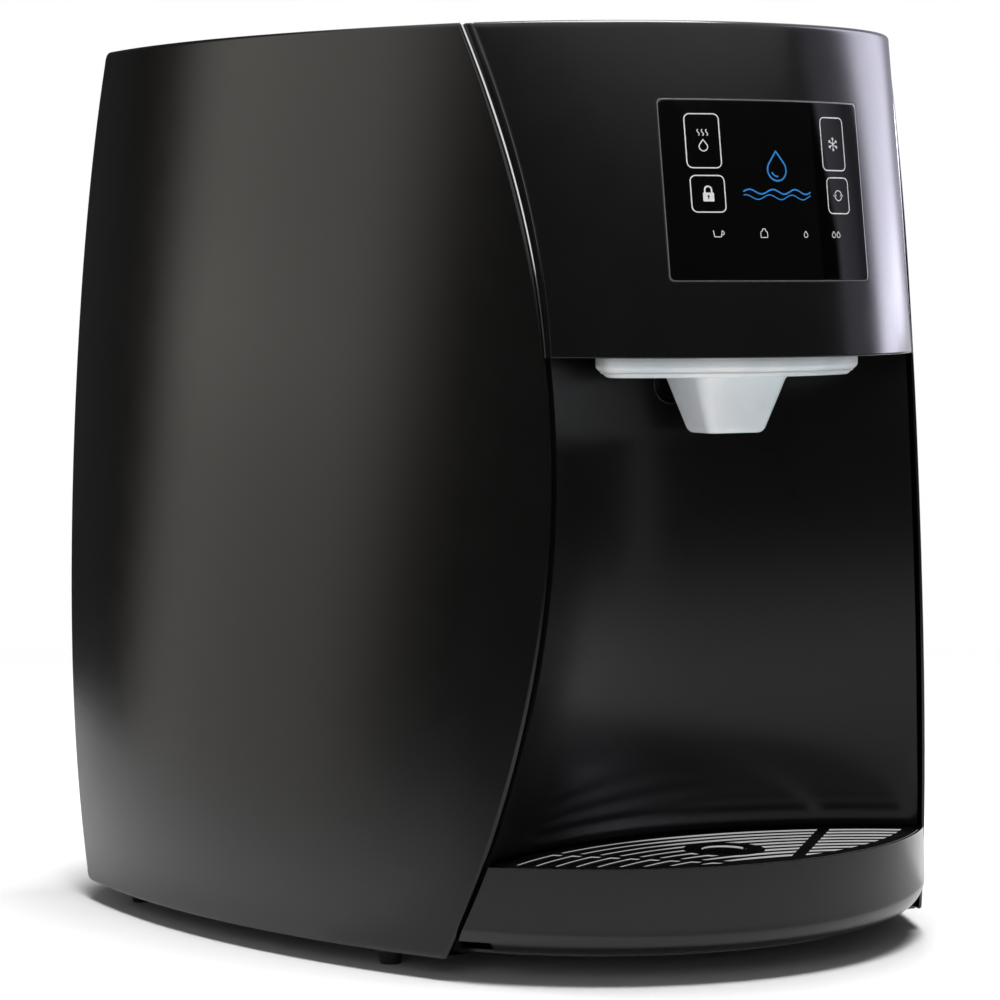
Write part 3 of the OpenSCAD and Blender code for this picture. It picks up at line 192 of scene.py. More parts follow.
def moulded(name, dark, light, gloss=0.4, drift=0.06, grain=2200.0, depth=0.05, cloud=7.0, detail=4.0,
            **constants):
    """Moulded plastic or rubber: two close tones, a drifting gloss and a fine grain."""
    material, wire, place = new_finish(name)
    tone, patch = noise(place, cloud, detail, Roughness=0.6), noise(place, PATCH_SCALE, 3.0)
    tooth = noise(place, grain)
    colour = (tone * TONE_SHARE + patch * (1 - TONE_SHARE)).mix(dark, light)
    bump = wire.node("ShaderNodeBump", Strength=depth, Distance=TOOTH_DEPTH, Height=tooth)
    roughness = (patch - 0.5) * drift + (tooth - 0.5) * TOOTH_GLOSS + gloss
    close_finish(wire, Base_Color=colour, Roughness=roughness, Normal=bump, **constants)
    return material


def drawn_metal(name, dark, light, gloss=0.2, along=(900.0, 900.0, 14.0), drift=0.12):
    """Metal with fine lines along one axis: noise that is stretched by its scale on that axis."""
    material, wire, place = new_finish(name)
    lines = wire.node("ShaderNodeVectorMath", {"operation": "MULTIPLY"}, _0=place, _1=along)
    line, tarnish = noise(lines, 1.0, 3.0), noise(place, TARNISH_SCALE)
    colour = (line * LINE_SHARE + tarnish * (1 - LINE_SHARE)).mix(dark, light)
    bump = wire.node("ShaderNodeBump", Strength=LINE_BUMP, Distance=LINE_DEPTH, Height=line)
    close_finish(wire, Base_Color=colour, Metallic=1.0, Roughness=(line - 0.5) * drift + gloss, Normal=bump)
    return material


def spangled(name, dark, light, gloss=0.4):
    """Galvanised sheet: flat crystals, each with its own tone and gloss."""
    material, wire, place = new_finish(name)
    crystal = wire.node("ShaderNodeTexVoronoi", output="Color", Vector=place, Scale=CRYSTAL_SCALE)
    level = wire.node("ShaderNodeSeparateColor", output=0, Color=crystal)
    close_finish(wire, Base_Color=level.mix(dark, light), Metallic=0.9,
                 Roughness=(level - 0.5) * CRYSTAL_DRIFT + gloss)
    return material


# %% One finish for each slot of the record
TRIM_LINES = (90.0, 90.0, 20.0)
FINISHES = {
    "casing": moulded("satin_black_shell", grey(0.0022, 0.06), grey(0.0036, 0.08), gloss=0.21, depth=0.04),
    "bay": moulded("satin_black_bay", grey(0.002, 0.05), grey(0.0032, 0.08), gloss=0.29, depth=0.05,
                   Specular_IOR_Level=0.36),
    "glass_black": moulded("gloss_black_window", 0.0003, 0.0008, gloss=0.06, drift=0.05, grain=300.0, depth=0.002),
    "rubber": moulded("foot_rubber", 0.009, 0.018, gloss=0.75, grain=900.0, depth=0.2),
    # Its blue-grey patches are painted shade that stands for the inner parts seen through the milky plastic.
    "frosted": moulded("frosted_nozzle", (0.34, 0.44, 0.48, 1.0), (0.92, 0.88, 0.89, 1.0), gloss=0.25,
                       grain=700.0, depth=0.02, cloud=26.0, detail=0.6, Subsurface_Weight=0.35,
                       Subsurface_Radius=(0.006, 0.007, 0.008), Subsurface_Scale=0.5),
    "board": moulded("solder_mask", (0.010, 0.06, 0.03, 1.0), (0.018, 0.09, 0.045, 1.0), gloss=0.3, grain=500.0),
    "foam": moulded("insulation_foam", (0.55, 0.49, 0.34, 1.0), (0.68, 0.62, 0.46, 1.0), gloss=0.85,
                    grain=600.0, depth=0.4),
    "black_paint": moulded("black_enamel", 0.004, 0.008, gloss=0.4, grain=500.0),
    "black_plastic": moulded("moulded_black", 0.012, 0.02, gloss=0.5, grain=1200.0, depth=0.12),
    "white_plastic": moulded("fitting_white", grey(0.62, 0.02), grey(0.74, 0.02), gloss=0.42, grain=900.0),
    "tube": moulded("milky_tube", (0.55, 0.60, 0.62, 1.0), (0.70, 0.74, 0.76, 1.0), gloss=0.35, grain=500.0),
    "red_cap": moulded("hot_red", (0.30, 0.018, 0.012, 1.0), (0.40, 0.03, 0.02, 1.0), gloss=0.4, grain=900.0),
    "blue_cap": moulded("cold_blue", (0.012, 0.07, 0.26, 1.0), (0.02, 0.10, 0.36, 1.0), gloss=0.4, grain=900.0),
    "green_rocker": moulded("cold_green", (0.012, 0.14, 0.04, 1.0), (0.02, 0.20, 0.06, 1.0), gloss=0.35),
    "bright_trim": drawn_metal("bright_trim", 0.64, 0.74, gloss=0.09, along=TRIM_LINES, drift=0.04),
    "screws": drawn_metal("zinc_screw", grey(0.40, 0.03), grey(0.60, 0.03), gloss=0.32,
                          along=(700.0, 700.0, 700.0)),
    "steel": drawn_metal("brushed_steel", 0.46, 0.62, gloss=0.28, along=(14.0, 14.0, 900.0)),
    "grille": drawn_metal("polished_grille", 0.50, 0.66, gloss=0.14, along=(60.0, 900.0, 900.0)),
    "copper": drawn_metal("drawn_copper", (0.45, 0.17, 0.08, 1.0), (0.60, 0.26, 0.13, 1.0), gloss=0.3),
    "fins": drawn_metal("coated_fins", 0.05, 0.09, gloss=0.45),
    "zinc_sheet": spangled("galvanised_sheet", 0.34, 0.52),
}
WHITE_PRINT = moulded("white_print", 0.66, 0.78, gloss=0.35, grain=900.0)
BLUE_PRINT = moulded("blue_print", (0.02, 0.19, 0.55, 1.0), (0.03, 0.26, 0.66, 1.0), gloss=0.3, grain=900.0)
# Near black: painted shade on the sheet under the window's hair-line gap, and the keyhole's print on the lock
# sign.
GAP_SHADE_AND_KEYHOLE_BLACK = moulded("shadow_gap", 0.001, 0.002, gloss=0.8)
# A paler grey that is a painted highlight: the ring round the touch window and the forward bevel of the cup
# sensor.
PAINTED_EDGE_HIGHLIGHT = moulded("polished_edge", 0.10, 0.16, gloss=0.2, grain=300.0)
print(len(FINISHES), "finishes for the record's slots")

slot_of = {part["node"]: part["material_slot"] for part in frame["record"]["subparts"]}
body_of = {n: body for body, members in frame["record"]["behaviour"]["bodies"].items() for n in members}
for node, solid in frame["nodes"].items():
    solid.data.materials.clear()
    solid.data.materials.append(FINISHES[slot_of[node]])

# %% [markdown]
# ## The object's own numbers
#
# The shells follow simple rules, so they can be drawn from the same few numbers as the solids: the side
# panels are parts of large leaning cylinders, their edges are arcs, the fascia is a cylinder that leans
# back, and the bay is an arc turned about an upright axis in front of the machine. All are in millimetres
# here, and `MM` turns them into metres when a mesh is made.

# %% Sizes in millimetres
MM = 0.001
BODY_H, MID_Z, HALF_W = 452.0, 226.0, 185.0
PANEL_Z, PANEL_WALL = 10.3, 3.8
SIDE_R, CROWN_Y, SIDE_SLOPE = 539.0, 99.0, tan(radians(2.9))
FRONT_R, FRONT_CY, FRONT_CZ = 540.0, 358.8, 216.0
BACK_R, BACK_CY, BACK_CZ = 467.0, -243.0, 257.0
SEAM_CY, SEAM_CZ = 357.912, 227.7
FASCIA_R, FASCIA_Y, FASCIA_Z, LEAN = 140.0, -82.554, 295.0, radians(8.2)
BAY_Y, WAIST_R, WAIST_Z, BAY_ARC = -317.2, 170.086, 229.0, 470.916
NOZZLE_Y = -169.1
SEAM, SIDES = 0.3, ((-1, "left"), (1, "right"))


def skin_x(y, z, d):
    """Half width of a side panel's skin, d inside its outer face."""
    return HALF_W - SIDE_R + sqrt((SIDE_R - d) ** 2 - (y - CROWN_Y) ** 2) - SIDE_SLOPE * (z - MID_Z)


def edge_arc(radius, cy, cz, way):
    """An edge seen from the side: gives the function from a height z to the place y on the arc."""
    return lambda z: cy + way * sqrt(radius ** 2 - (z - cz) ** 2)


front_edge = edge_arc(FRONT_R, FRONT_CY, FRONT_CZ, -1)
back_edge = edge_arc(BACK_R, BACK_CY, BACK_CZ, 1)
seam_edge = edge_arc(FRONT_R, SEAM_CY, SEAM_CZ, -1)


def bay_r(z):
    """The bay wall's distance from its upright axis at a height z."""
    return WAIST_R + BAY_ARC - sqrt(BAY_ARC ** 2 - (z - WAIST_Z) ** 2)


print("panel edge at half height:", round(front_edge(MID_Z), 1), "to", round(back_edge(MID_Z), 1), "mm")

# %% [markdown]
# ## A shell from a grid
#
# A moulded shell is a sheet with a wall and a rounded rim. It could be a plane with Solidify and Bevel,
# but a bevel on a doubly curved rim pinches. Here the sheet is a grid of points on the true surface, with
# extra lines close to the rim. Points near the rim sink along the wall like a quarter circle, so the
# highlight runs round the edge as it does on the real moulding.


# %% Shell helpers
RIM = [0.0, 0.12, 0.3, 0.55, 0.85, 1.2, 1.6, 2.4, 4.0, 6.0]
WELD = 1e-7


def spread(near, count):
    """Grid lines between two rims: the rim distances in near, then even steps in between."""
    return [("low", d) for d in near] + [("mid", (i + 1) / (count + 1)) for i in range(count)] + [
        ("high", d) for d in reversed(near)]


def line_at(line, low, high, margin):
    """Where a grid line lies between two rims; the even steps keep this margin from both."""
    kind, value = line
    if kind == "low":
        return low + value
    if kind == "high":
        return high - value
    return low + margin + (high - low - 2 * margin) * value


def rim_sink(radius, *distances):
    """Depth of a quarter-round rim at these distances from the rims."""
    into = sum(max(0.0, radius - d) ** 2 for d in distances)
    return radius - sqrt(max(0.0, radius * radius - into))


def round_off(a, b):
    """Squeezes a corner square, 0 to 1 both ways, into a quarter circle."""
    return a * sqrt(1 - b * b / 2), b * sqrt(1 - a * a / 2)


def shell_mesh(name, point, columns, rows):
    """Two sheets, outer and inner, joined round the rim. point(c, r, inner) gives millimetres."""
    bm = bmesh.new()
    sheets = [[[bm.verts.new(Vector(point(c, r, inner)) * MM) for c in columns] for r in rows]
              for inner in (0, 1)]
    for inner, sheet in enumerate(sheets):
        for i in range(len(rows) - 1):
            for j in range(len(columns) - 1):
                ring = [sheet[i][j], sheet[i][j + 1], sheet[i + 1][j + 1], sheet[i + 1][j]]
                bm.faces.new(ring if not inner else list(reversed(ring)))
    outer, back = sheets
    last_row, last_col = len(rows) - 1, len(columns) - 1
    rim = [(0, j) for j in range(last_col)] + [(i, last_col) for i in range(last_row)]
    rim += [(last_row, j) for j in range(last_col, 0, -1)] + [(i, 0) for i in range(last_row, 0, -1)]
    for (a, b), (c, d) in zip(rim, rim[1:] + rim[:1]):
        bm.faces.new([outer[a][b], back[a][b], back[c][d], outer[c][d]])
    return finish_mesh(name, bm)


def plain_mesh(name, bm):
    mesh = bpy.data.meshes.new(name)
    bm.to_mesh(mesh)
    bm.free()
    return mesh


def finish_mesh(name, bm, crease=35.0):
    """Welds the points, turns the faces outwards and shades them smooth up to the crease angle."""
    bmesh.ops.remove_doubles(bm, verts=bm.verts, dist=WELD)
    bmesh.ops.recalc_face_normals(bm, faces=bm.faces)
    for edge in bm.edges:
        edge.smooth = not edge.is_boundary and edge.calc_face_angle(0.0) < radians(crease)
    for face in bm.faces:
        face.smooth = True
    return plain_mesh(name, bm)


def joined(first, second):
    """Adds the second mesh to the first, as one more closed skin of the same piece."""
    bm = bmesh.new()
    bm.from_mesh(first)
    bm.from_mesh(second)
    bm.to_mesh(first)
    bm.free()
    return first


def add_piece(name, mesh, body, slot, *nodes, finish=None):
    """Puts a finished mesh in the scene, on its body, in place of the named solids."""
    piece = new_object(name, mesh)
    mesh.materials.clear()
    mesh.materials.append(finish or FINISHES[slot])
    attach(piece, body)
    if nodes:
        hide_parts(*nodes)
    print(name, "has", len(mesh.polygons), "faces")
    return piece


# %% [markdown]
# ## Side panels
#
# Each panel is the largest moulding on the machine: a strip of a big upright cylinder that leans in towards
# the top, cut to a lens shape by two arcs. The rim is rounded, and the two rear corners are turned with a
# larger radius. The corner is made by squeezing the grid's corner square into a quarter circle.

# %% Panels
RIM_R, FRONT_RIM_R, CORNER_R, LIP_WALL, LIP_RUN = 1.6, 0.5, 6.0, 1.5, 8.0
FLANGE_W, FLANGE_TOP, FLANGE_FRONT, FLANGE_BITE = 10.0, 11.8, 2.0, 0.4
PANEL_ROWS, PANEL_COLUMNS = spread(RIM, 40), spread(RIM, 44)


def panel_place(column, row):
    z = line_at(row, PANEL_Z, BODY_H, CORNER_R)
    y = line_at(column, front_edge(z), back_edge(z), CORNER_R)
    rear, level = back_edge(z) - y, min(z - PANEL_Z, BODY_H - z)
    if rear < CORNER_R and level < CORNER_R:
        a, b = round_off((CORNER_R - rear) / CORNER_R, (CORNER_R - level) / CORNER_R)
        top = z > MID_Z
        base = BODY_H - CORNER_R if top else PANEL_Z + CORNER_R
        z = base + CORNER_R * b if top else base - CORNER_R * b
        y = back_edge(base) - CORNER_R + CORNER_R * a - (back_edge(base) - back_edge(z)) * (1 - a) * 0.5
        return y, z, rim_sink(RIM_R, CORNER_R * (1 - hypot(a, b)))
    return y, z, max(rim_sink(FRONT_RIM_R, y - front_edge(z)), rim_sink(RIM_R, rear, level))


def panel_point(side):
    def point(column, row, inner):
        y, z, sink = panel_place(column, row)
        lip = max(0.0, 1 - (y - front_edge(z)) / LIP_RUN)
        wall = PANEL_WALL - (PANEL_WALL - LIP_WALL) * lip
        return side * skin_x(y, z, wall if inner else sink), y, z
    return point


def panel_flange(side):
    def point(column, row, inner):
        z = FLANGE_TOP if inner else PANEL_Z
        y = line_at(column, front_edge(z) + FLANGE_FRONT, back_edge(z) - CORNER_R, CORNER_R)
        return side * skin_x(y, z, PANEL_WALL - FLANGE_BITE + row * FLANGE_W), y, z
    return point


for side, word in SIDES:
    shell = shell_mesh(word + "_panel", panel_point(side), PANEL_COLUMNS, PANEL_ROWS)
    flange = shell_mesh(word + "_flange", panel_flange(side), PANEL_COLUMNS, [0.0, 0.5, 1.0])
    add_piece(word + "_panel_shell", joined(shell, flange), "casing", "casing", word + "_side_panel")

# %% [markdown]
# ## The leaning fascia
#
# The fascia is a cylinder that leans back, so its level sections are ellipses. Working in level sections
# keeps the top and bottom rims level: at each height the ellipse's middle moves back with the lean, and the
# sheet runs round to the seam beside the panels.

# %% Fascia
FASCIA_WALL, FASCIA_RIM, FASCIA_TOP_RIM = 3.0, 0.8, 2.0


def fascia_y(angle, z, radius):
    return FASCIA_Y + (z - FASCIA_Z) * tan(LEAN) - radius * cos(angle) / cos(LEAN)


def fascia_angle(y, z, radius):
    """The angle at which the leaning cylinder reaches the place y at a height z."""
    return acos((FASCIA_Y + (z - FASCIA_Z) * tan(LEAN) - y) * cos(LEAN) / radius)


def fascia_point(column, row, inner):
    z = line_at(row, FASCIA_Z, BODY_H, RIM[-1])
    reach = fascia_angle(seam_edge(z), z, FASCIA_R) * FASCIA_R
    along = line_at(column, -reach, reach, RIM[-1])
    sink = max(rim_sink(FASCIA_RIM, reach - abs(along), z - FASCIA_Z), rim_sink(FASCIA_TOP_RIM, BODY_H - z))
    sink = FASCIA_WALL if inner else sink
    angle = along / FASCIA_R
    return (FASCIA_R - sink) * sin(angle), fascia_y(angle, z, FASCIA_R - sink), z


fascia = shell_mesh("fascia", fascia_point, spread(RIM, 90), spread(RIM, 30))
add_piece("fascia_shell", fascia, "casing", "casing", "front_fascia")

# %% [markdown]
# ## Bright trim strips
#
# A bright strip fills each seam between fascia and panel. It widens upwards, because its two edges are arcs
# with different centres, and a narrow groove divides it into a flat band and a bead. One finish for both
# would light the band's corners too, so the band and the groove get a darker copy of the metal, which is
# painted shade, and the slim half-round bead stays bright: whatever the view, it finds something pale to
# mirror and draws one line of light.

# %% Trim strips
TRIM_PROUD, TRIM_DEPTH, TRIM_GROOVE, TRIM_BEAD = 0.3, 3.0, 1.0, 0.9
BEAD_STEPS = [0.0, 0.03, 0.08, 0.16, 0.26, 0.38, 0.5, 0.62, 0.74, 0.84, 0.92, 0.97, 1.0]
BEAD_FROM, FLAT_TO, FLAT_ROUND, FLAT_SINK = 0.86, 0.72, 0.05, 0.3
TRIM_ACROSS = [0.0, 0.015, 0.03, 0.05, 0.36, 0.67, 0.69, 0.705, 0.72, 0.73, 0.85]
TRIM_ACROSS += [BEAD_FROM + (1 - BEAD_FROM) * t for t in BEAD_STEPS]
TRIM_ROWS = [i / 60 for i in range(60)] + [0.9925, 0.996, 0.998, 0.999, 1.0]
TRIM_FRONT_GAP, TRIM_REAR_GAP, TRIM_END = 0.2, 0.6, 0.45
# A darker copy of the trim metal: painted shade on the flat band and the groove.
PAINTED_SHADE_TRIM = drawn_metal("dark_trim", 0.07, 0.10, gloss=0.16, along=TRIM_LINES, drift=0.04)


def trim_edges(z):
    """The strip's front and rear edge at a height z."""
    return seam_edge(z) + TRIM_FRONT_GAP, front_edge(z) - TRIM_REAR_GAP


def trim_sink(share):
    """Depth across the strip from front to rear: a flat band, a groove and a half-round bead."""
    if share >= BEAD_FROM:
        t = 2 * (share - BEAD_FROM) / (1 - BEAD_FROM) - 1
        return TRIM_BEAD * (1 - sqrt(max(0.0, 1 - t * t)))
    if share > FLAT_TO:
        return TRIM_GROOVE
    return FLAT_SINK + rim_sink(FLAT_ROUND, share, FLAT_TO - share) / FLAT_ROUND * FLAT_SINK


def trim_point(side):
    def point(column, row, inner):
        z = FASCIA_Z + (BODY_H - SEAM - FASCIA_Z) * row
        low, high = trim_edges(z)
        y = low + (high - low) * column
        sink = trim_sink(column) + rim_sink(TRIM_END, BODY_H - SEAM - z)
        radius = FASCIA_R + TRIM_PROUD - (TRIM_DEPTH if inner else sink)
        angle = fascia_angle(y, z, radius)
        return side * radius * sin(angle), y, z
    return point


for side, word in SIDES:
    strip = shell_mesh(word + "_trim", trim_point(side), TRIM_ACROSS, TRIM_ROWS)
    strip = add_piece(word + "_trim_strip_bright", strip, "casing", "bright_trim", word + "_trim_strip")
    # Faces in front of the bead, the flat band and the groove, take the painted shade copy.
    strip.data.materials.append(PAINTED_SHADE_TRIM)
    for face in strip.data.polygons:
        low, high = trim_edges(face.center.z / MM)
        face.material_index = 1 if face.center.y / MM < low + (high - low) * BEAD_FROM else 0

# %% [markdown]
# ## The dispensing bay
#
# The bay is the part that takes most skill to see: its wall is hollow from side to side, yet bulges towards
# us from top to bottom, like the inside of a saddle. Turning an arc about an axis in front of the machine
# gives exactly that. The sheet's side rims follow the panels' inner faces, found by halving steps.

# %% Bay wall and ceiling
BAY_WALL, BAY_LOW, BAY_SEARCH, HALVINGS = 3.0, 13.8, (0.2, 1.5), 40
CEILING_Z, CEILING_TOP, CEILING_BACK, CEILING_LAP = 295.3, 298.3, -118.0, 0.05
CEILING_R = FASCIA_R - FASCIA_WALL - SEAM


def bay_reach(z, radius):
    """The angle, seen from the bay's axis, at which its wall meets the side panel's inner face."""
    low, high = BAY_SEARCH
    for _ in range(HALVINGS):
        middle = (low + high) / 2
        x, y = radius * sin(middle), BAY_Y + radius * cos(middle)
        outside = x > skin_x(y, z, PANEL_WALL + SEAM) or y < front_edge(z)
        low, high = (low, middle) if outside else (middle, high)
    return low


def bay_point(column, row, inner):
    z = BAY_LOW + (CEILING_TOP - BAY_LOW) * row
    radius = bay_r(z) + (BAY_WALL if inner else 0.0)
    angle = bay_reach(z, radius) * column
    return radius * sin(angle), BAY_Y + radius * cos(angle), z


def ceiling_point(column, row, inner):
    z = CEILING_TOP if inner else CEILING_Z
    front = fascia_y(0.0, z, CEILING_R)
    y = front + CEILING_LAP + (CEILING_BACK - front) * (1 - cos(row * pi / 2))
    half = CEILING_R * sin(fascia_angle(y, z, CEILING_R))
    half = min(half, skin_x(max(y, front_edge(z)), z, PANEL_WALL + SEAM))
    return half * column, y, z


across = [-1 + i / 40 for i in range(81)]
bay = shell_mesh("bay", bay_point, across, [i / 60 for i in range(61)])
ceiling = shell_mesh("bay_ceiling", ceiling_point, across, [i / 30 for i in range(31)])
add_piece("bay_wall", joined(bay, ceiling), "casing", "bay", "bay_liner")

# %% [markdown]
# ## Softening a solid's edges
#
# The smaller fittings are right as solids, only their edges are too sharp to catch light. Their meshes are
# loose triangles, so a copy is merged, flat neighbours are dissolved into whole faces, and a small bevel
# rounds each true edge. The solid itself isn't touched: the softened copy replaces it.


# %% Softened copies
LOOSE_WELD, FLAT_ANGLE, EDGE_ANGLE, HIGHLIGHT_RING_SLOPES = 2e-6, 0.6, 30.0, (0.2, 0.97)


def through_modifier(mesh, kind, set_up):
    """Gives back the mesh as one modifier leaves it; set_up fills in the modifier first."""
    carrier = new_object("carrier", mesh)
    modifier = carrier.modifiers.new("rule", kind)
    set_up(modifier)
    made = bpy.data.meshes.new_from_object(carrier.evaluated_get(bpy.context.evaluated_depsgraph_get()))
    carrier.modifiers.remove(modifier)
    bpy.data.objects.remove(carrier)
    return made


def flat_normals(mesh):
    """Lets large faces rule the shading, so that a bevel doesn't darken the flat beside it."""
    def set_up(modifier):
        modifier.keep_sharp, modifier.weight = True, 100
    return through_modifier(mesh, "WEIGHTED_NORMAL", set_up)


def softened(node, radius, segments=2):
    """A copy of a solid with its true edges rounded to a radius in millimetres."""
    bm = bmesh.new()
    bm.from_mesh(frame["nodes"][node].data)
    bmesh.ops.remove_doubles(bm, verts=bm.verts, dist=LOOSE_WELD)
    bmesh.ops.dissolve_limit(bm, angle_limit=radians(FLAT_ANGLE), verts=bm.verts, edges=bm.edges)
    sharp = [edge for edge in bm.edges
             if len(edge.link_faces) == 2 and edge.calc_face_angle(0.0) > radians(EDGE_ANGLE)]
    bmesh.ops.bevel(bm, geom=sharp, offset=radius * MM, offset_type="OFFSET", segments=segments,
                    profile=0.5, affect="EDGES", clamp_overlap=True)
    bmesh.ops.triangulate(bm, faces=[f for f in bm.faces if len(f.verts) > 4])
    mesh = flat_normals(finish_mesh(node + "_soft", bm))
    return add_piece(node + "_soft", mesh, body_of[node], slot_of[node], node)


for node, radius in (("drip_tray", 0.5), ("top_cover", 0.5), ("service_panel", 0.3), ("feet", 0.5),
                     ("water_inlet", 0.3), ("hot_drain_outlet", 0.3), ("cold_drain_outlet", 0.3),
                     ("hot_drain_cap", 0.25), ("cold_drain_cap", 0.25), ("mains_inlet", 0.3),
                     ("hot_switch_housing", 0.3), ("cold_switch_housing", 0.3), ("hot_switch_rocker", 0.3),
                     ("cold_switch_rocker", 0.3), ("hot_spout", 0.2), ("cold_spout", 0.2)):
    softened(node, radius)
# The sensor's bevel faces that look forwards get the paler finish, a painted highlight.
sensor = softened("cup_sensor", 0.6, segments=3)
sensor.data.materials.append(PAINTED_EDGE_HIGHLIGHT)
for face in sensor.data.polygons:
    face.material_index = 1 if HIGHLIGHT_RING_SLOPES[0] < -face.normal.y < HIGHLIGHT_RING_SLOPES[1] else 0

# %% [markdown]
# ## The frosted nozzle cover
#
# The cover is a shallow dish with a tapered shroud in its middle, moulded in one piece of milky plastic. Both
# are stacks of outlines, so both are lofts: each outline is a ring of points, and the next ring is a little
# smaller and lower. Small steps at each turn make the rounded lips that glow in the photograph.


# %% Outlines and lofts
def round_spot(at, radius, angle):
    """The spot on a circle about a place, at an angle in degrees."""
    return at[0] + radius * cos(radians(angle)), at[1] + radius * sin(radians(angle))


def arc(at, radius, start, end, steps=14):
    return [round_spot(at, radius, start + (end - start) * i / steps) for i in range(steps + 1)]


def box_outline(x0, x1, low, high, corner, steps=6):
    """An upright box with round corners, from its right side on, anticlockwise."""
    middles = ((x1 - corner, high - corner), (x0 + corner, high - corner),
               (x0 + corner, low + corner), (x1 - corner, low + corner))
    return sum((arc(middle, corner, 90 * k, 90 * k + 90, steps) for k, middle in enumerate(middles)), [])


def loft(bm, rings):
    """Adds a closed skin through rings of points in millimetres; first and last ring are filled."""
    made = [[bm.verts.new(Vector(p) * MM) for p in ring] for ring in rings]
    count = len(made[0])
    for low, high in zip(made, made[1:]):
        for i in range(count):
            bm.faces.new([low[i], low[(i + 1) % count], high[(i + 1) % count], high[i]])
    bm.faces.new(made[0])
    bm.faces.new(made[-1])


# %% Nozzle cover
DISH_FRONT_R, DISH_BACK_R, DISH_HALF_W, DISH_TOP, DISH_LOW = 119.0, 167.6, 72.5, 295.0, 285.1
DISH_CORNER, CHAMFER = 2.2, 4.6
BEND = DISH_LOW + CHAMFER
DISH = [(2.0, DISH_LOW + 2.0), (2.0, DISH_TOP - 0.4), (1.6, DISH_TOP), (0.5, DISH_TOP), (0.0, DISH_TOP - 0.5),
        (0.0, BEND + 0.7), (0.15, BEND + 0.1), (0.5, BEND - 0.5), (CHAMFER - 0.9, DISH_LOW + 0.9),
        (CHAMFER - 0.2, DISH_LOW + 0.3), (CHAMFER + 0.7, DISH_LOW)]
SHROUD_TOP, SHROUD_LOW, SHROUD_H, SHROUD_CORNER, CORNER_TAPER = (52.0, 36.0), (32.0, 23.0), 27.2, 6.5, 2.0
SHROUD_LIP = [(0.90 + 0.1 * sin(a), 2.0 * (1 - cos(a))) for a in (0.3, 0.6, 0.9, 1.2, 1.5)]
SHROUD = [(-0.06, 2.0), (-0.06, -1.2), (-0.015, -1.0), (0.015, -0.4), (0.05, 0.0), (0.5, 0.0), (0.90, 0.0),
          *SHROUD_LIP, (1.0, 2.6), (1.0, 3.7), (0.985, 4.0), (0.94, 4.0), (0.92, 3.4), (0.84, 2.0), (0.1, 2.0)]


def dish_ring(inset, z, steps=48):
    """The dish's plan: an arc in front, an arc behind and two short straight ends with round corners."""
    half, turn = DISH_HALF_W - inset, DISH_CORNER
    front, back = [], []
    for i in range(steps + 1):
        u = -1 + 2 * i / steps
        x = half * sin(u * pi / 2)
        pinch = turn - sqrt(max(0.0, turn ** 2 - max(0.0, abs(x) - half + turn) ** 2))
        front.append((x, FASCIA_Y - sqrt((DISH_FRONT_R - inset) ** 2 - x * x) + pinch, z))
        back.append((x, BAY_Y + sqrt((DISH_BACK_R - inset) ** 2 - x * x) - pinch, z))
    return front + back[::-1]


def shroud_ring(t, inset):
    """The shroud's outline at a share t of its height, moved inwards by inset."""
    width, depth = (top + (low - top) * t - 2 * inset for top, low in zip(SHROUD_TOP, SHROUD_LOW))
    corner = SHROUD_CORNER - CORNER_TAPER * t - inset / 2
    outline = box_outline(-width / 2, width / 2, -depth / 2, depth / 2, corner, steps=10)
    return [(x, NOZZLE_Y + y, DISH_LOW - SHROUD_H * t) for x, y in outline]


nozzle = bmesh.new()
loft(nozzle, [dish_ring(inset, z) for inset, z in DISH])
loft(nozzle, [shroud_ring(t, inset) for t, inset in SHROUD])
nozzle_mesh = finish_mesh("nozzle_cover_milky", nozzle, crease=50.0)
add_piece("nozzle_cover_milky", nozzle_mesh, "nozzle_cover", "frosted", "nozzle_cover")

# %% [markdown]
# ## The drip grille
#
# The grille is a polished plate with curved slots, two crossing ribs and a ringed hole. Bars laid in a row
# would be another way, but the real one is cut from one sheet, so the solid is kept and softened. What makes
# it read as metal is the slots' edges, and their light is painted: where they look towards the room, the
# rounded lips get a paler copy of the metal as a painted highlight, and the slot walls are painted pale near
# the top as painted light and near black below as painted shade. The flat of the plate and the edges that
# look into the bay stay dark. So it gets three finishes, chosen by each face's slope and by which way it
# looks. A faint glow on the walls is painted light that stands for the bright room that they would mirror.

# %% Softened plate
GRILLE_TOP, PAINTED_LIT_FADE, PAINTED_GLINT, WALL_SLOPE, FLAT_SLOPE = 56.0 * MM, 0.16 * MM, 0.28, 0.2, 0.94
PAINTED_LIT_LEFT, PAINTED_LIT_RIGHT = (-0.03, 0.42 * MM), (0.04, 1.3 * MM)

# Slot walls: pale near the top as painted light, near black below as painted shade; the pale band is deeper
# towards the right, and its faint glow is painted light too.
PAINTED_LIT_SLOT_WALL, wire, place = new_finish("cut_metal_edge")
x, _, z = place.axes()
painted_lit_depth = wire.node("ShaderNodeMapRange", Value=x, From_Min=PAINTED_LIT_LEFT[0], From_Max=PAINTED_LIT_RIGHT[0],
                  To_Min=PAINTED_LIT_LEFT[1], To_Max=PAINTED_LIT_RIGHT[1])
painted_lit = wire.node("ShaderNodeMapRange", Value=z + painted_lit_depth, From_Min=GRILLE_TOP - PAINTED_LIT_FADE,
                From_Max=GRILLE_TOP + PAINTED_LIT_FADE)
lit_wall_tone = noise(place, 900.0).mix(grey(0.85, 0.03), grey(0.96, 0.03))
close_finish(wire, Base_Color=painted_lit.mix(0.006, lit_wall_tone), Roughness=0.4,
             Emission_Color=painted_lit.mix(0.0, PAINTED_GLINT), Emission_Strength=1.0)

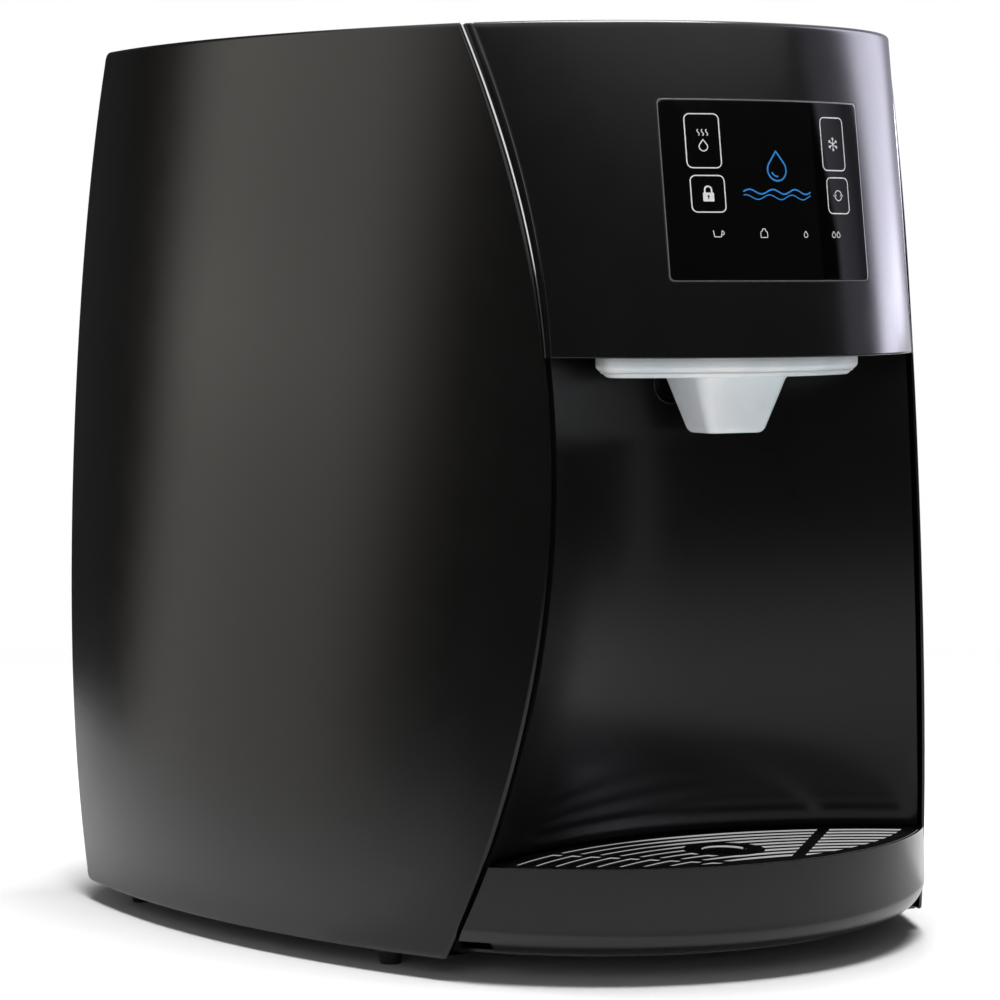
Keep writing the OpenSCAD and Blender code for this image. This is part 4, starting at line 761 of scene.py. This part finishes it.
# A paler copy of the grille metal: a painted highlight on the rounded lips that look towards the room.
PAINTED_LIP_HIGHLIGHT = drawn_metal("bright_lip", grey(0.86, 0.02), grey(0.95, 0.02), gloss=0.3, along=(900.0, 900.0, 900.0))
grille = softened("drip_grille", 0.4)
grille.data.materials.append(PAINTED_LIT_SLOT_WALL)
grille.data.materials.append(PAINTED_LIP_HIGHLIGHT)
# Faces that look towards the room get painted light: upright walls the painted lit band, sloped lips the painted
# highlight; the rest keep the plate's metal.
for face in grille.data.polygons:
    slope, faces_room = abs(face.normal.z), face.normal.y < 0.0
    face.material_index = (1 if slope < WALL_SLOPE else 2 if slope < FLAT_SLOPE else 0) if faces_room else 0

# %% [markdown]
# ## Louvres and screws by Geometry Nodes
#
# The rear cover has thirty-nine equal slots, and ten screws in two sizes hold the covers. Copying by hand
# works, but then a change means doing it all again. A tree of nodes states the rule once, with named inputs. The
# louvre tree lays a grid, bends it onto the cover's arc and sets one rolled lip on each point. The screw tree
# cuts a crossed recess into a dome and sets it on each seat, turned to the seat's own direction. Both end
# in Realize Instances and Set Material, because only real meshes leave the scene.


# %% Trees of nodes
def new_tree(name, *sockets):
    """A tree with named inputs: gives the tree, a wire to add nodes with, and the inputs by name."""
    tree = bpy.data.node_groups.new(name, "GeometryNodeTree")
    for label, kind in sockets:
        tree.interface.new_socket(label, in_out="INPUT", socket_type="NodeSocket" + kind)
    tree.interface.new_socket("Mesh", in_out="OUTPUT", socket_type="NodeSocketGeometry")
    start = tree.nodes.new("NodeGroupInput")
    return tree, Wire(tree), {socket.name: Wire(tree, socket) for socket in start.outputs if socket.name}


def close_tree(wire, instances, finish):
    solid = wire.node("GeometryNodeRealizeInstances", Geometry=instances)
    wire.node("NodeGroupOutput", Mesh=wire.node("GeometryNodeSetMaterial", Geometry=solid, Material=finish))


def nodes_to_mesh(name, mesh, tree, crease, **values):
    """Runs a tree on a mesh, with its inputs set by their names, and gives back one plain mesh."""
    def set_up(modifier):
        modifier.node_group = tree
        for item in tree.interface.items_tree:
            label = item.name.replace(" ", "_")
            if item.in_out == "INPUT" and label in values:
                modifier[item.identifier] = values[label]
    bm = bmesh.new()
    bm.from_mesh(through_modifier(mesh, "NODES", set_up))
    return finish_mesh(name, bm, crease)


# %% Louvre lips
REAR_R, LOUVRE_Z, END_SHARE = 461.0, 271.5, 0.49

louvre_tree, wire, given = new_tree(
    "louvre_lips", ("Columns", "Int"), ("Rows", "Int"), ("Column Step", "Float"), ("Row Step", "Float"),
    ("Slot Length", "Float"), ("Slot Height", "Float"), ("Lip", "Float"), ("Finish", "Material"))
columns, rows, length, height = (given[name] for name in ("Columns", "Rows", "Slot Length", "Slot Height"))
grid = wire.node("GeometryNodeMeshGrid", Size_X=given["Column Step"] * (columns - 1),
                 Size_Y=given["Row Step"] * (rows - 1), Vertices_X=columns, Vertices_Y=rows)
x, y, z = wire.node("GeometryNodeInputPosition").axes()
lean = wire.sum("ARCSINE", (y + (LOUVRE_Z - BACK_CZ) * MM) / (REAR_R * MM), 0.0)
bent = wire.node("ShaderNodeCombineXYZ", X=x, Y=wire.sum("COSINE", lean, 0.0) * (REAR_R * MM) + BACK_CY * MM,
                 Z=y + LOUVRE_Z * MM)
arc_grid = wire.node("GeometryNodeSetPosition", Geometry=grid, Position=bent)
stand = wire.sum("ARCSINE", (z - BACK_CZ * MM) / (REAR_R * MM), 0.0) + pi / 2
outline = wire.node("GeometryNodeCurvePrimitiveQuadrilateral", Width=length, Height=height)
outline = wire.node("GeometryNodeFilletCurve", {"mode": "POLY"}, Curve=outline, Count=8,
                    Radius=height * END_SHARE)
bead = wire.node("GeometryNodeCurvePrimitiveCircle", Radius=given["Lip"], Resolution=8)
lip = wire.node("GeometryNodeCurveToMesh", Curve=outline, Profile_Curve=bead)
turned = wire.node("ShaderNodeCombineXYZ", X=stand)
placed = wire.node("GeometryNodeInstanceOnPoints", Points=arc_grid, Instance=lip, Rotation=turned)
close_tree(wire, placed, given["Finish"])

rear_slot = slot_of["rear_cover"]
lips = nodes_to_mesh("louvre_lips", bpy.data.meshes.new("louvre_carrier"), louvre_tree, 50.0, Columns=3, Rows=13,
                     Column_Step=76 * MM, Row_Step=12 * MM, Slot_Length=62.4 * MM, Slot_Height=4.4 * MM,
                     Lip=0.5 * MM, Finish=FINISHES[rear_slot])
add_piece("louvre_lips", lips, "casing", rear_slot)

# %% Cover screws
DOME, CROSS_LONG, CROSS_WIDE, SEAT = 1.6, 1.1, 0.25, SEAM / 2
REAR_SCREW_Z, REAR_INSET = (132.0, 317.0, 421.7), 7.0
TOP_SCREW_Y, TOP_INSET, TOP_SINK = (-91.2, 144.0), 18.0, 1.0

screw_tree, wire, given = new_tree("screw_setter", ("Seats", "Geometry"), ("Head Radius", "Float"),
                                   ("Head Height", "Float"), ("Finish", "Material"))
radius, height = given["Head Radius"], given["Head Height"]


def lifted(shape, rise):
    up = wire.node("ShaderNodeCombineXYZ", Z=rise)
    return wire.node("GeometryNodeTransform", Geometry=shape, Translation=up)


ball = wire.node("GeometryNodeMeshUVSphere", Segments=48, Rings=48, Radius=radius * DOME)
ball = lifted(ball, height - radius * DOME)
drum = wire.node("GeometryNodeMeshCylinder", Vertices=48, Radius=radius, Depth=height * 2.0)
dome = wire.node("GeometryNodeMeshBoolean", {"operation": "INTERSECT"}, Mesh_2=ball)
wire.tree.links.new(drum.socket, dome.socket.node.inputs["Mesh 2"])
for long, wide in ((CROSS_LONG, CROSS_WIDE), (CROSS_WIDE, CROSS_LONG)):
    size = wire.node("ShaderNodeCombineXYZ", X=radius * long, Y=radius * wide, Z=height)
    arm = lifted(wire.node("GeometryNodeMeshCube", Size=size), height)
    dome = wire.node("GeometryNodeMeshBoolean", {"operation": "DIFFERENCE"}, Mesh_1=dome, Mesh_2=arm)
way = wire.node("GeometryNodeInputNamedAttribute", {"data_type": "FLOAT_VECTOR"}, Name="way")
turn = wire.node("FunctionNodeAlignRotationToVector", {"axis": "Z"}, Vector=way)
heads = wire.node("GeometryNodeInstanceOnPoints", Points=given["Seats"], Instance=dome, Rotation=turn)
close_tree(wire, heads, given["Finish"])


def set_screws(node, seats, head_r, head_h):
    """Screws on seats: each seat is a point in millimetres and the direction its head faces."""
    mesh = bpy.data.meshes.new(node + "_seats")
    mesh.from_pydata([Vector(point) * MM for point, _ in seats], [], [])
    ways = mesh.attributes.new("way", "FLOAT_VECTOR", "POINT")
    for item, (_, direction) in zip(ways.data, seats):
        item.vector = direction
    made = nodes_to_mesh(node + "_set", mesh, screw_tree, 30.0, Head_Radius=head_r * MM, Head_Height=head_h * MM,
                         Finish=FINISHES["screws"])
    add_piece(node + "_set", flat_normals(made), "casing", slot_of[node], node)


rear_seats, top_seats = [], []
for side in (-1, 1):
    for z in REAR_SCREW_Z:
        rise = asin((z - BACK_CZ) / REAR_R)
        back, up = cos(rise), sin(rise)
        y = BACK_CY + REAR_R * back
        x = side * (skin_x(y, z, PANEL_WALL) - REAR_INSET)
        rear_seats.append(((x, y + SEAT * back, z + SEAT * up), (0, back, up)))
    for y in TOP_SCREW_Y:
        x = side * (skin_x(y, BODY_H, PANEL_WALL) - TOP_INSET)
        top_seats.append(((x, y, BODY_H - TOP_SINK + SEAT), (0, 0, 1)))
set_screws("rear_cover_screws", rear_seats, 4.0, 2.2)
set_screws("top_cover_screws", top_seats, 3.2, 0.8)

# %% [markdown]
# ## The touch window
#
# The window is a curved pane of gloss black plastic, let flush into the fascia with a hair-line gap all
# round. It is another shell on the leaning cylinder. Its top and bottom rims are level, so it is drawn from
# level sections like the fascia, and not along the lean.

# %% Touch window
TOUCH_W, TOUCH_H, TOUCH_Z, TOUCH_CORNER, TOUCH_PROUD = 112.4, 84.5, 373.0, 2.2, 0.2
WINDOW_RIM = [0.0, 0.05, 0.12, 0.22, 0.35, 0.5, 1.0, 1.6, TOUCH_CORNER]
WINDOW_COLUMNS, WINDOW_ROWS = spread(WINDOW_RIM, 60), spread(WINDOW_RIM, 24)


def on_fascia(x, z, radius):
    """A point on the leaning cylinder: x sideways, at the height z."""
    return x, fascia_y(asin(x / radius), z, radius), z


def window_point(wider, rim, proud, wall):
    half_w, half_h, corner = (TOUCH_W + wider) / 2, (TOUCH_H + wider) / 2, TOUCH_CORNER

    def point(column, row, inner):
        x, up = line_at(column, -half_w, half_w, corner), line_at(row, -half_h, half_h, corner)
        a, b = abs(x) - half_w + corner, abs(up) - half_h + corner
        away = min(half_w - abs(x), half_h - abs(up))
        if a > 0 and b > 0:
            a, b = round_off(a / corner, b / corner)
            x = copysign(half_w - corner + corner * a, x)
            up = copysign(half_h - corner + corner * b, up)
            away = corner * (1 - hypot(a, b))
        return on_fascia(x, TOUCH_Z + up, FASCIA_R + proud - (wall if inner else rim_sink(rim, away)))
    return point


# Two rings lie under the pane on the same cylinder: the widest, near black, is painted shade for the hair-line
# gap, and the paler one between it and the pane is a painted highlight along the pane's edge.
for name, wider, rim, proud, wall, finish, nodes in (
        ("window_gap", 1.3, 0.01, 0.03, 0.5, GAP_SHADE_AND_KEYHOLE_BLACK, []),
        ("window_edge", 0.45, 0.2, 0.14, 0.5, PAINTED_EDGE_HIGHLIGHT, []),
        ("touch_window", -0.2, 0.35, TOUCH_PROUD, 1.6, None, ["touch_panel"])):
    pane = shell_mesh(name, window_point(wider, rim, proud, wall), WINDOW_COLUMNS, WINDOW_ROWS)
    add_piece(name, pane, "casing", "glass_black", *nodes, finish=finish)

# %% [markdown]
# ## Printed keys
#
# The keys are printed on the window: four outlined keys, and a row of four small signs under them. Words
# aren't needed: a steaming drop, a padlock, a snow crystal and a mixing sign say the same. Each stroke is a
# flat ribbon laid on the window's curve, a hair above it.


# %% Ribbons on the window
INK_PROUD, INK_W, INK_STEP, DROP_TIP, DROP_ARC = TOUCH_PROUD + 0.06, 0.55, 0.8, 1.7, (40, -220)
KEY_RUN = 136.0
KEY_FOOT = FASCIA_Z + KEY_RUN * sin(LEAN)


def fine_steps(points, closed):
    """More points along a line, so that a ribbon follows the window's curve."""
    fine = []
    for (x0, z0), (x1, z1) in zip(points, points[1:] + (points[:1] if closed else [])):
        count = max(1, ceil(hypot(x1 - x0, z1 - z0) / INK_STEP))
        fine += [(x0 + (x1 - x0) * i / count, z0 + (z1 - z0) * i / count) for i in range(count)]
    return fine if closed else fine + points[-1:]


class Ink:
    """Collects strokes and fills as one mesh; heights are in millimetres along the window."""

    def __init__(self, proud=INK_PROUD):
        self.bm = bmesh.new()
        self.radius = FASCIA_R + proud

    def vert(self, x, up):
        return self.bm.verts.new(Vector(on_fascia(x, KEY_FOOT + up * cos(LEAN), self.radius)) * MM)

    def stroke(self, points, width=INK_W, closed=False):
        points = fine_steps(points, closed)
        count = len(points)
        pairs = []
        for i, (x, up) in enumerate(points):
            before = points[i - 1] if i or closed else points[i]
            after = points[(i + 1) % count] if i < count - 1 or closed else points[i]
            along = Vector((after[0] - before[0], after[1] - before[1])).normalized() * (width / 2)
            pairs.append((self.vert(x - along.y, up + along.x), self.vert(x + along.y, up - along.x)))
        for a, b in zip(pairs, pairs[1:] + (pairs[:1] if closed else [])):
            self.bm.faces.new([a[0], a[1], b[1], b[0]])

    def fill(self, points):
        self.bm.faces.new([self.vert(x, up) for x, up in points])

    def done(self, name, finish):
        for face in self.bm.faces:
            face.normal_update()
            if face.normal.y > 0:
                face.normal_flip()
        add_piece(name, plain_mesh(name, self.bm), "casing", "glass_black", finish=finish)


def drop_outline(at, size, steps=20):
    """A water drop: a circle below, drawn up to a point."""
    return [(at[0], at[1] + size * DROP_TIP)] + arc(at, size, *DROP_ARC, steps)


# %% Draw the keys
KEYS = ((-45.0, -28.8, 69.6, 95.0), (-44.2, -28.2, 48.8, 66.0), (28.6, 44.3, 69.2, 94.5),
        (30.2, 45.0, 48.6, 65.7))
KEY_CORNER, LOCK_CORNER = 2.6, 0.5
HAIR, SMALL_DROP, SLIM, THIN, PEN = 0.36, 0.38, 0.4, 0.42, 0.45
DROP, BOLD, MARK, WAVES = 0.5, 0.75, 0.8, (0.7, 0.5)
HOT_AT, COLD_AT, LOCK_AT, MIX_AT = (-36.9, 80.5), (36.5, 81.8), (-36.2, 57.0), (37.6, 57.2)
FLAKE_R, FORK_R, FORK_LEN, FORK_BEND, MIX_R = 3.4, 2.0, 1.2, degrees(0.7), 2.4
LOCK_BOX, BOW_Z, BOW_R, BOW_FOOT = (-2.6, 2.6, -3.2, 1.0), 2.3, 1.6, 0.8


def moved(at, spots):
    """Spots of a sign, moved to its place on the window."""
    return [(at[0] + x, at[1] + up) for x, up in spots]


ink = Ink()
for key in KEYS:
    ink.stroke(box_outline(*key, KEY_CORNER), closed=True)
ink.stroke(drop_outline((HOT_AT[0], HOT_AT[1] - 1.0), 2.0), DROP, closed=True)
for k in (-1, 0, 1):
    ink.stroke(moved(HOT_AT, [(k * 2.0 + 0.5 * sin(i * 0.7), 4.2 + i * 0.34) for i in range(10)]), THIN)
for a in range(30, 390, 60):
    fork = round_spot(COLD_AT, FORK_R, a)
    ink.stroke([COLD_AT, round_spot(COLD_AT, FLAKE_R, a)], THIN)
    for bend in (-FORK_BEND, FORK_BEND):
        ink.stroke([fork, round_spot(fork, FORK_LEN, a + bend)], HAIR)
ink.fill(moved(LOCK_AT, box_outline(*LOCK_BOX, LOCK_CORNER)))
bow = [(-BOW_R, BOW_FOOT)] + arc((0.0, BOW_Z), BOW_R, 180, 0) + [(BOW_R, BOW_FOOT)]
ink.stroke(moved(LOCK_AT, bow), BOLD)
for start, end in ((20, 170), (200, 350)):
    ink.stroke(arc(MIX_AT, MIX_R, start, end), PEN)
for a, way in ((170, -1), (350, 1)):
    head = [(-1.1, way * 0.2), (0.0, way * 1.0), (1.0, way * 0.1)]
    ink.stroke(moved(round_spot(MIX_AT, MIX_R, a), head), SLIM)

SIGN_ROW, EAR_AT = (0.0, 38.7), (-30.9, 39.0)
CUP = [(-35.2, 1.5), (-34.7, -1.5), (-31.5, -1.5), (-31.0, 1.5)]
BOTTLE = [(-11.5, -1.7), (-11.5, 0.8), (-10.5, 1.5), (-10.5, 2.3),
          (-8.9, 2.3), (-8.9, 1.5), (-7.9, 0.8), (-7.9, -1.7)]
ink.stroke(moved(SIGN_ROW, CUP), THIN)
ink.stroke(arc(EAR_AT, 0.9, 80, -100), HAIR)
ink.stroke(moved(SIGN_ROW, BOTTLE), SLIM, closed=True)
for x in (14.2, 32.4, 35.6):
    ink.stroke(drop_outline((x, SIGN_ROW[1] - 0.5), 1.1), SMALL_DROP, closed=True)
ink.done("window_print", WHITE_PRINT)

MARK_AT, WAVE_Z = (0.0, 69.0), 58.6
mark = Ink()
mark.stroke(drop_outline(MARK_AT, 5.2, 32), MARK, closed=True)
mark.stroke(arc(MARK_AT, 3.1, 200, 280), WAVES[0])
for k, pen in enumerate(WAVES):
    mark.stroke([(-19.0 + i * 0.95, WAVE_Z - 2.6 * k + 1.1 * sin(i * 0.47 + k)) for i in range(41)], pen)
mark.done("window_drop", BLUE_PRINT)

keyhole = Ink(INK_PROUD + 0.03)
keyhole.fill(moved(LOCK_AT, arc((0.0, -0.8), 0.55, 0, 340)))
keyhole.stroke(moved(LOCK_AT, [(0.0, -0.9), (0.0, -2.1)]), PEN)
keyhole.done("window_keyhole", GAP_SHADE_AND_KEYHOLE_BLACK)

# %% [markdown]
# ## Floor and light
#
# The machine stands on a plain white floor in a white room. Satin black shows only what it mirrors, so the
# room needs cards round it, as in a studio: dark ones, which photographers call flags, and glowing ones that
# act as windows. Each card is a strip of an upright cylinder out of the picture, or a flat ring just above
# the table that changes the table's tone in a mirror. Only mirrored rays see them. The floor turns into plain
# white a metre away, so that no horizon shows.

# %% Floor
FLOOR_HALF, FADE_FROM, FADE_TO = 9.0, 0.75, 1.5
corners = [(x * FLOOR_HALF, y * FLOOR_HALF, 0.0) for x, y in ((-1, -1), (1, -1), (1, 1), (-1, 1))]


def distance_fade(place, start, end, kind="LINEAR"):
    """0 up to the first distance from the machine and 1 from the second on."""
    away = place.node("ShaderNodeVectorMath", {"operation": "LENGTH"}, output="Value", _0=place)
    return place.node("ShaderNodeMapRange", {"interpolation_type": kind}, Value=away, From_Min=start, From_Max=end)


floor = new_object("floor", bpy.data.meshes.new("floor"))
floor.data.from_pydata(corners, [], [(0, 1, 2, 3)])
floor_finish, wire, place = new_finish("white_floor")
fade = distance_fade(place, FADE_FROM, FADE_TO, "SMOOTHSTEP")
mottle = noise(place, 30.0, 3.0).mix(0.93, 0.95)
close_finish(wire, Base_Color=fade.mix(mottle, 0.0), Roughness=0.9, Specular_IOR_Level=0.0,
             Emission_Color=fade.mix(0.0, 1.0), Emission_Strength=1.0)
floor.data.materials.append(floor_finish)


# %% Cards
CARD_STEPS, TABLE_NEAR, TABLE_FAR = 32, 0.45, 1.0


def glow(name, tint, angles, heights, lean, lean_from=0.0):
    """A card's light: a ramp round the machine in degrees, leaning from a height on, times a ramp up the card."""
    finish, wire, place = new_finish(name)
    x, y, z = place.axes()
    turn = wire.sum("ARCTAN2", x, y) * degrees(1.0)
    turn = turn + wire.sum("MAXIMUM", z - heights[0][0], lean_from) * lean
    level = 1.0
    for value, stops in ((turn, angles), (z, heights)):
        low, high, peak = stops[0][0], stops[-1][0], max(strength for _, strength in stops)
        share = wire.node("ShaderNodeMapRange", Value=value, From_Min=low, From_Max=high)
        ramp = [((stop - low) / (high - low), grey(strength / peak)) for stop, strength in stops]
        level = wire.node("ShaderNodeValToRGB", {"stops": ramp}, Fac=share) * peak * level
    light = wire.node("ShaderNodeVectorMath", {"operation": "SCALE"}, _0=tint, Scale=level)
    close_finish(wire, Base_Color=0.0, Roughness=1.0, Specular_IOR_Level=0.0,
                 Emission_Color=light, Emission_Strength=1.0)
    return finish


def card(name, start, end, first, last, finish):
    """A curved card between two rims (radius, height); angles run clockwise from straight behind the machine."""
    bm = bmesh.new()
    rows = []
    for i in range(CARD_STEPS + 1):
        a = radians(start + (end - start) * i / CARD_STEPS)
        rows.append([bm.verts.new((r * sin(a), r * cos(a), z)) for r, z in (first, last)])
    for a, b in zip(rows, rows[1:]):
        bm.faces.new([a[0], b[0], b[1], a[1]])
    thing = new_object(name, plain_mesh(name, bm))
    thing.data.materials.append(finish)
    thing.visible_camera = thing.visible_diffuse = thing.visible_shadow = False


FLAG = moulded("flag_cloth", 0.004, 0.008, gloss=0.9)

table_tones = {}
for name, near, far in (("table_front", 0.50, 0.15), ("table_left", 0.76, 0.62)):
    table_tones[name], wire, place = new_finish(name)
    tone = distance_fade(place, TABLE_NEAR, TABLE_FAR).mix(near, far)
    close_finish(wire, Base_Color=tone, Roughness=0.9, Specular_IOR_Level=0.0)

WARM, LILAC = (1.0, 0.955, 0.885), (0.90, 0.885, 1.06)
left_glow = glow("left_window", WARM,
                 ((-86, 0.0), (-81.5, 0.08), (-77.2, 0.34), (-72.2, 0.82), (-66, 1.18), (-39.5, 1.1), (-34.5, 0.9),
                  (-30.5, 0.4), (-25.5, 0.02)),
                 ((0.0, 0.65), (0.1, 0.68), (0.2, 0.74), (0.27, 0.82), (0.34, 1.12), (0.47, 0.96), (0.6, 1.1)),
                 15.0)
right_glow = glow("right_window", LILAC,
                  ((40, 0.8), (54, 0.9), (63, 5.6), (84, 8.4), (88, 3.6), (92, 0.3), (97, 0.3), (101, 0.55),
                   (110, 1.0), (112.5, 0.02)),
                  ((0.34, 1.0), (0.41, 0.85), (0.46, 0.62), (0.56, 0.58), (0.8, 0.84), (1.3, 0.84)), -55.6, 0.21)
card("flag_rear", -40.0, 40.0, (1.3, 0.0), (1.3, 1.6), FLAG)
card("window_left", -95.0, -22.0, (1.25, 0.0), (1.25, 1.6), left_glow)
card("flag_front", 134.0, 268.0, (1.0, 0.0), (1.0, 0.68), FLAG)
card("flag_right_low", 78.0, 130.0, (1.0, 0.0), (1.0, 0.34), FLAG)
card("window_right", 40.0, 140.0, (1.2, 0.34), (1.2, 1.3), right_glow)
card("table_front", 104.0, 262.0, (0.99, 0.002), (0.24, 0.002), table_tones["table_front"])
card("table_left", -98.0, 38.0, (1.24, 0.002), (0.26, 0.002), table_tones["table_left"])

# %% World and lamps
ROOM_LIGHT, BACKDROP = 0.1, 1.0

world = bpy.data.worlds.new("white_room")
scene.world = world
world.use_nodes = True
world.node_tree.nodes.clear()
room = Wire(world.node_tree)
rays = [room.node("ShaderNodeLightPath", output=kind)
        for kind in ("Is Camera Ray", "Is Glossy Ray", "Is Transmission Ray")]
seen = (rays[0] + rays[1] + rays[2]) > 0.5
plain, white = (room.node("ShaderNodeBackground", Color=1.0, Strength=s) for s in (ROOM_LIGHT, BACKDROP))
room.node("ShaderNodeOutputWorld", Surface=room.node("ShaderNodeMixShader", _0=seen, _1=plain, _2=white))


def lamp(name, at, towards, width, height, power, mirrored=True):
    data = bpy.data.lights.new(name, "AREA")
    data.shape = "RECTANGLE"
    data.size, data.size_y, data.energy = width, height, power
    thing = new_object(name, data)
    thing.location = at
    thing.rotation_euler = (Vector(towards) - Vector(at)).to_track_quat("-Z", "Y").to_euler()
    thing.visible_glossy = mirrored


lamp("top_softbox", (0.05, -0.1, 2.2), (0.05, -0.1, 0.0), 1.3, 1.3, 86.0)
lamp("front_fill", (-1.3, -1.3, 0.7), (0.0, 0.0, 0.25), 1.2, 1.0, 4.0, mirrored=False)
scene.view_settings.view_transform = "Standard"
print("cards, world and lamps are up")
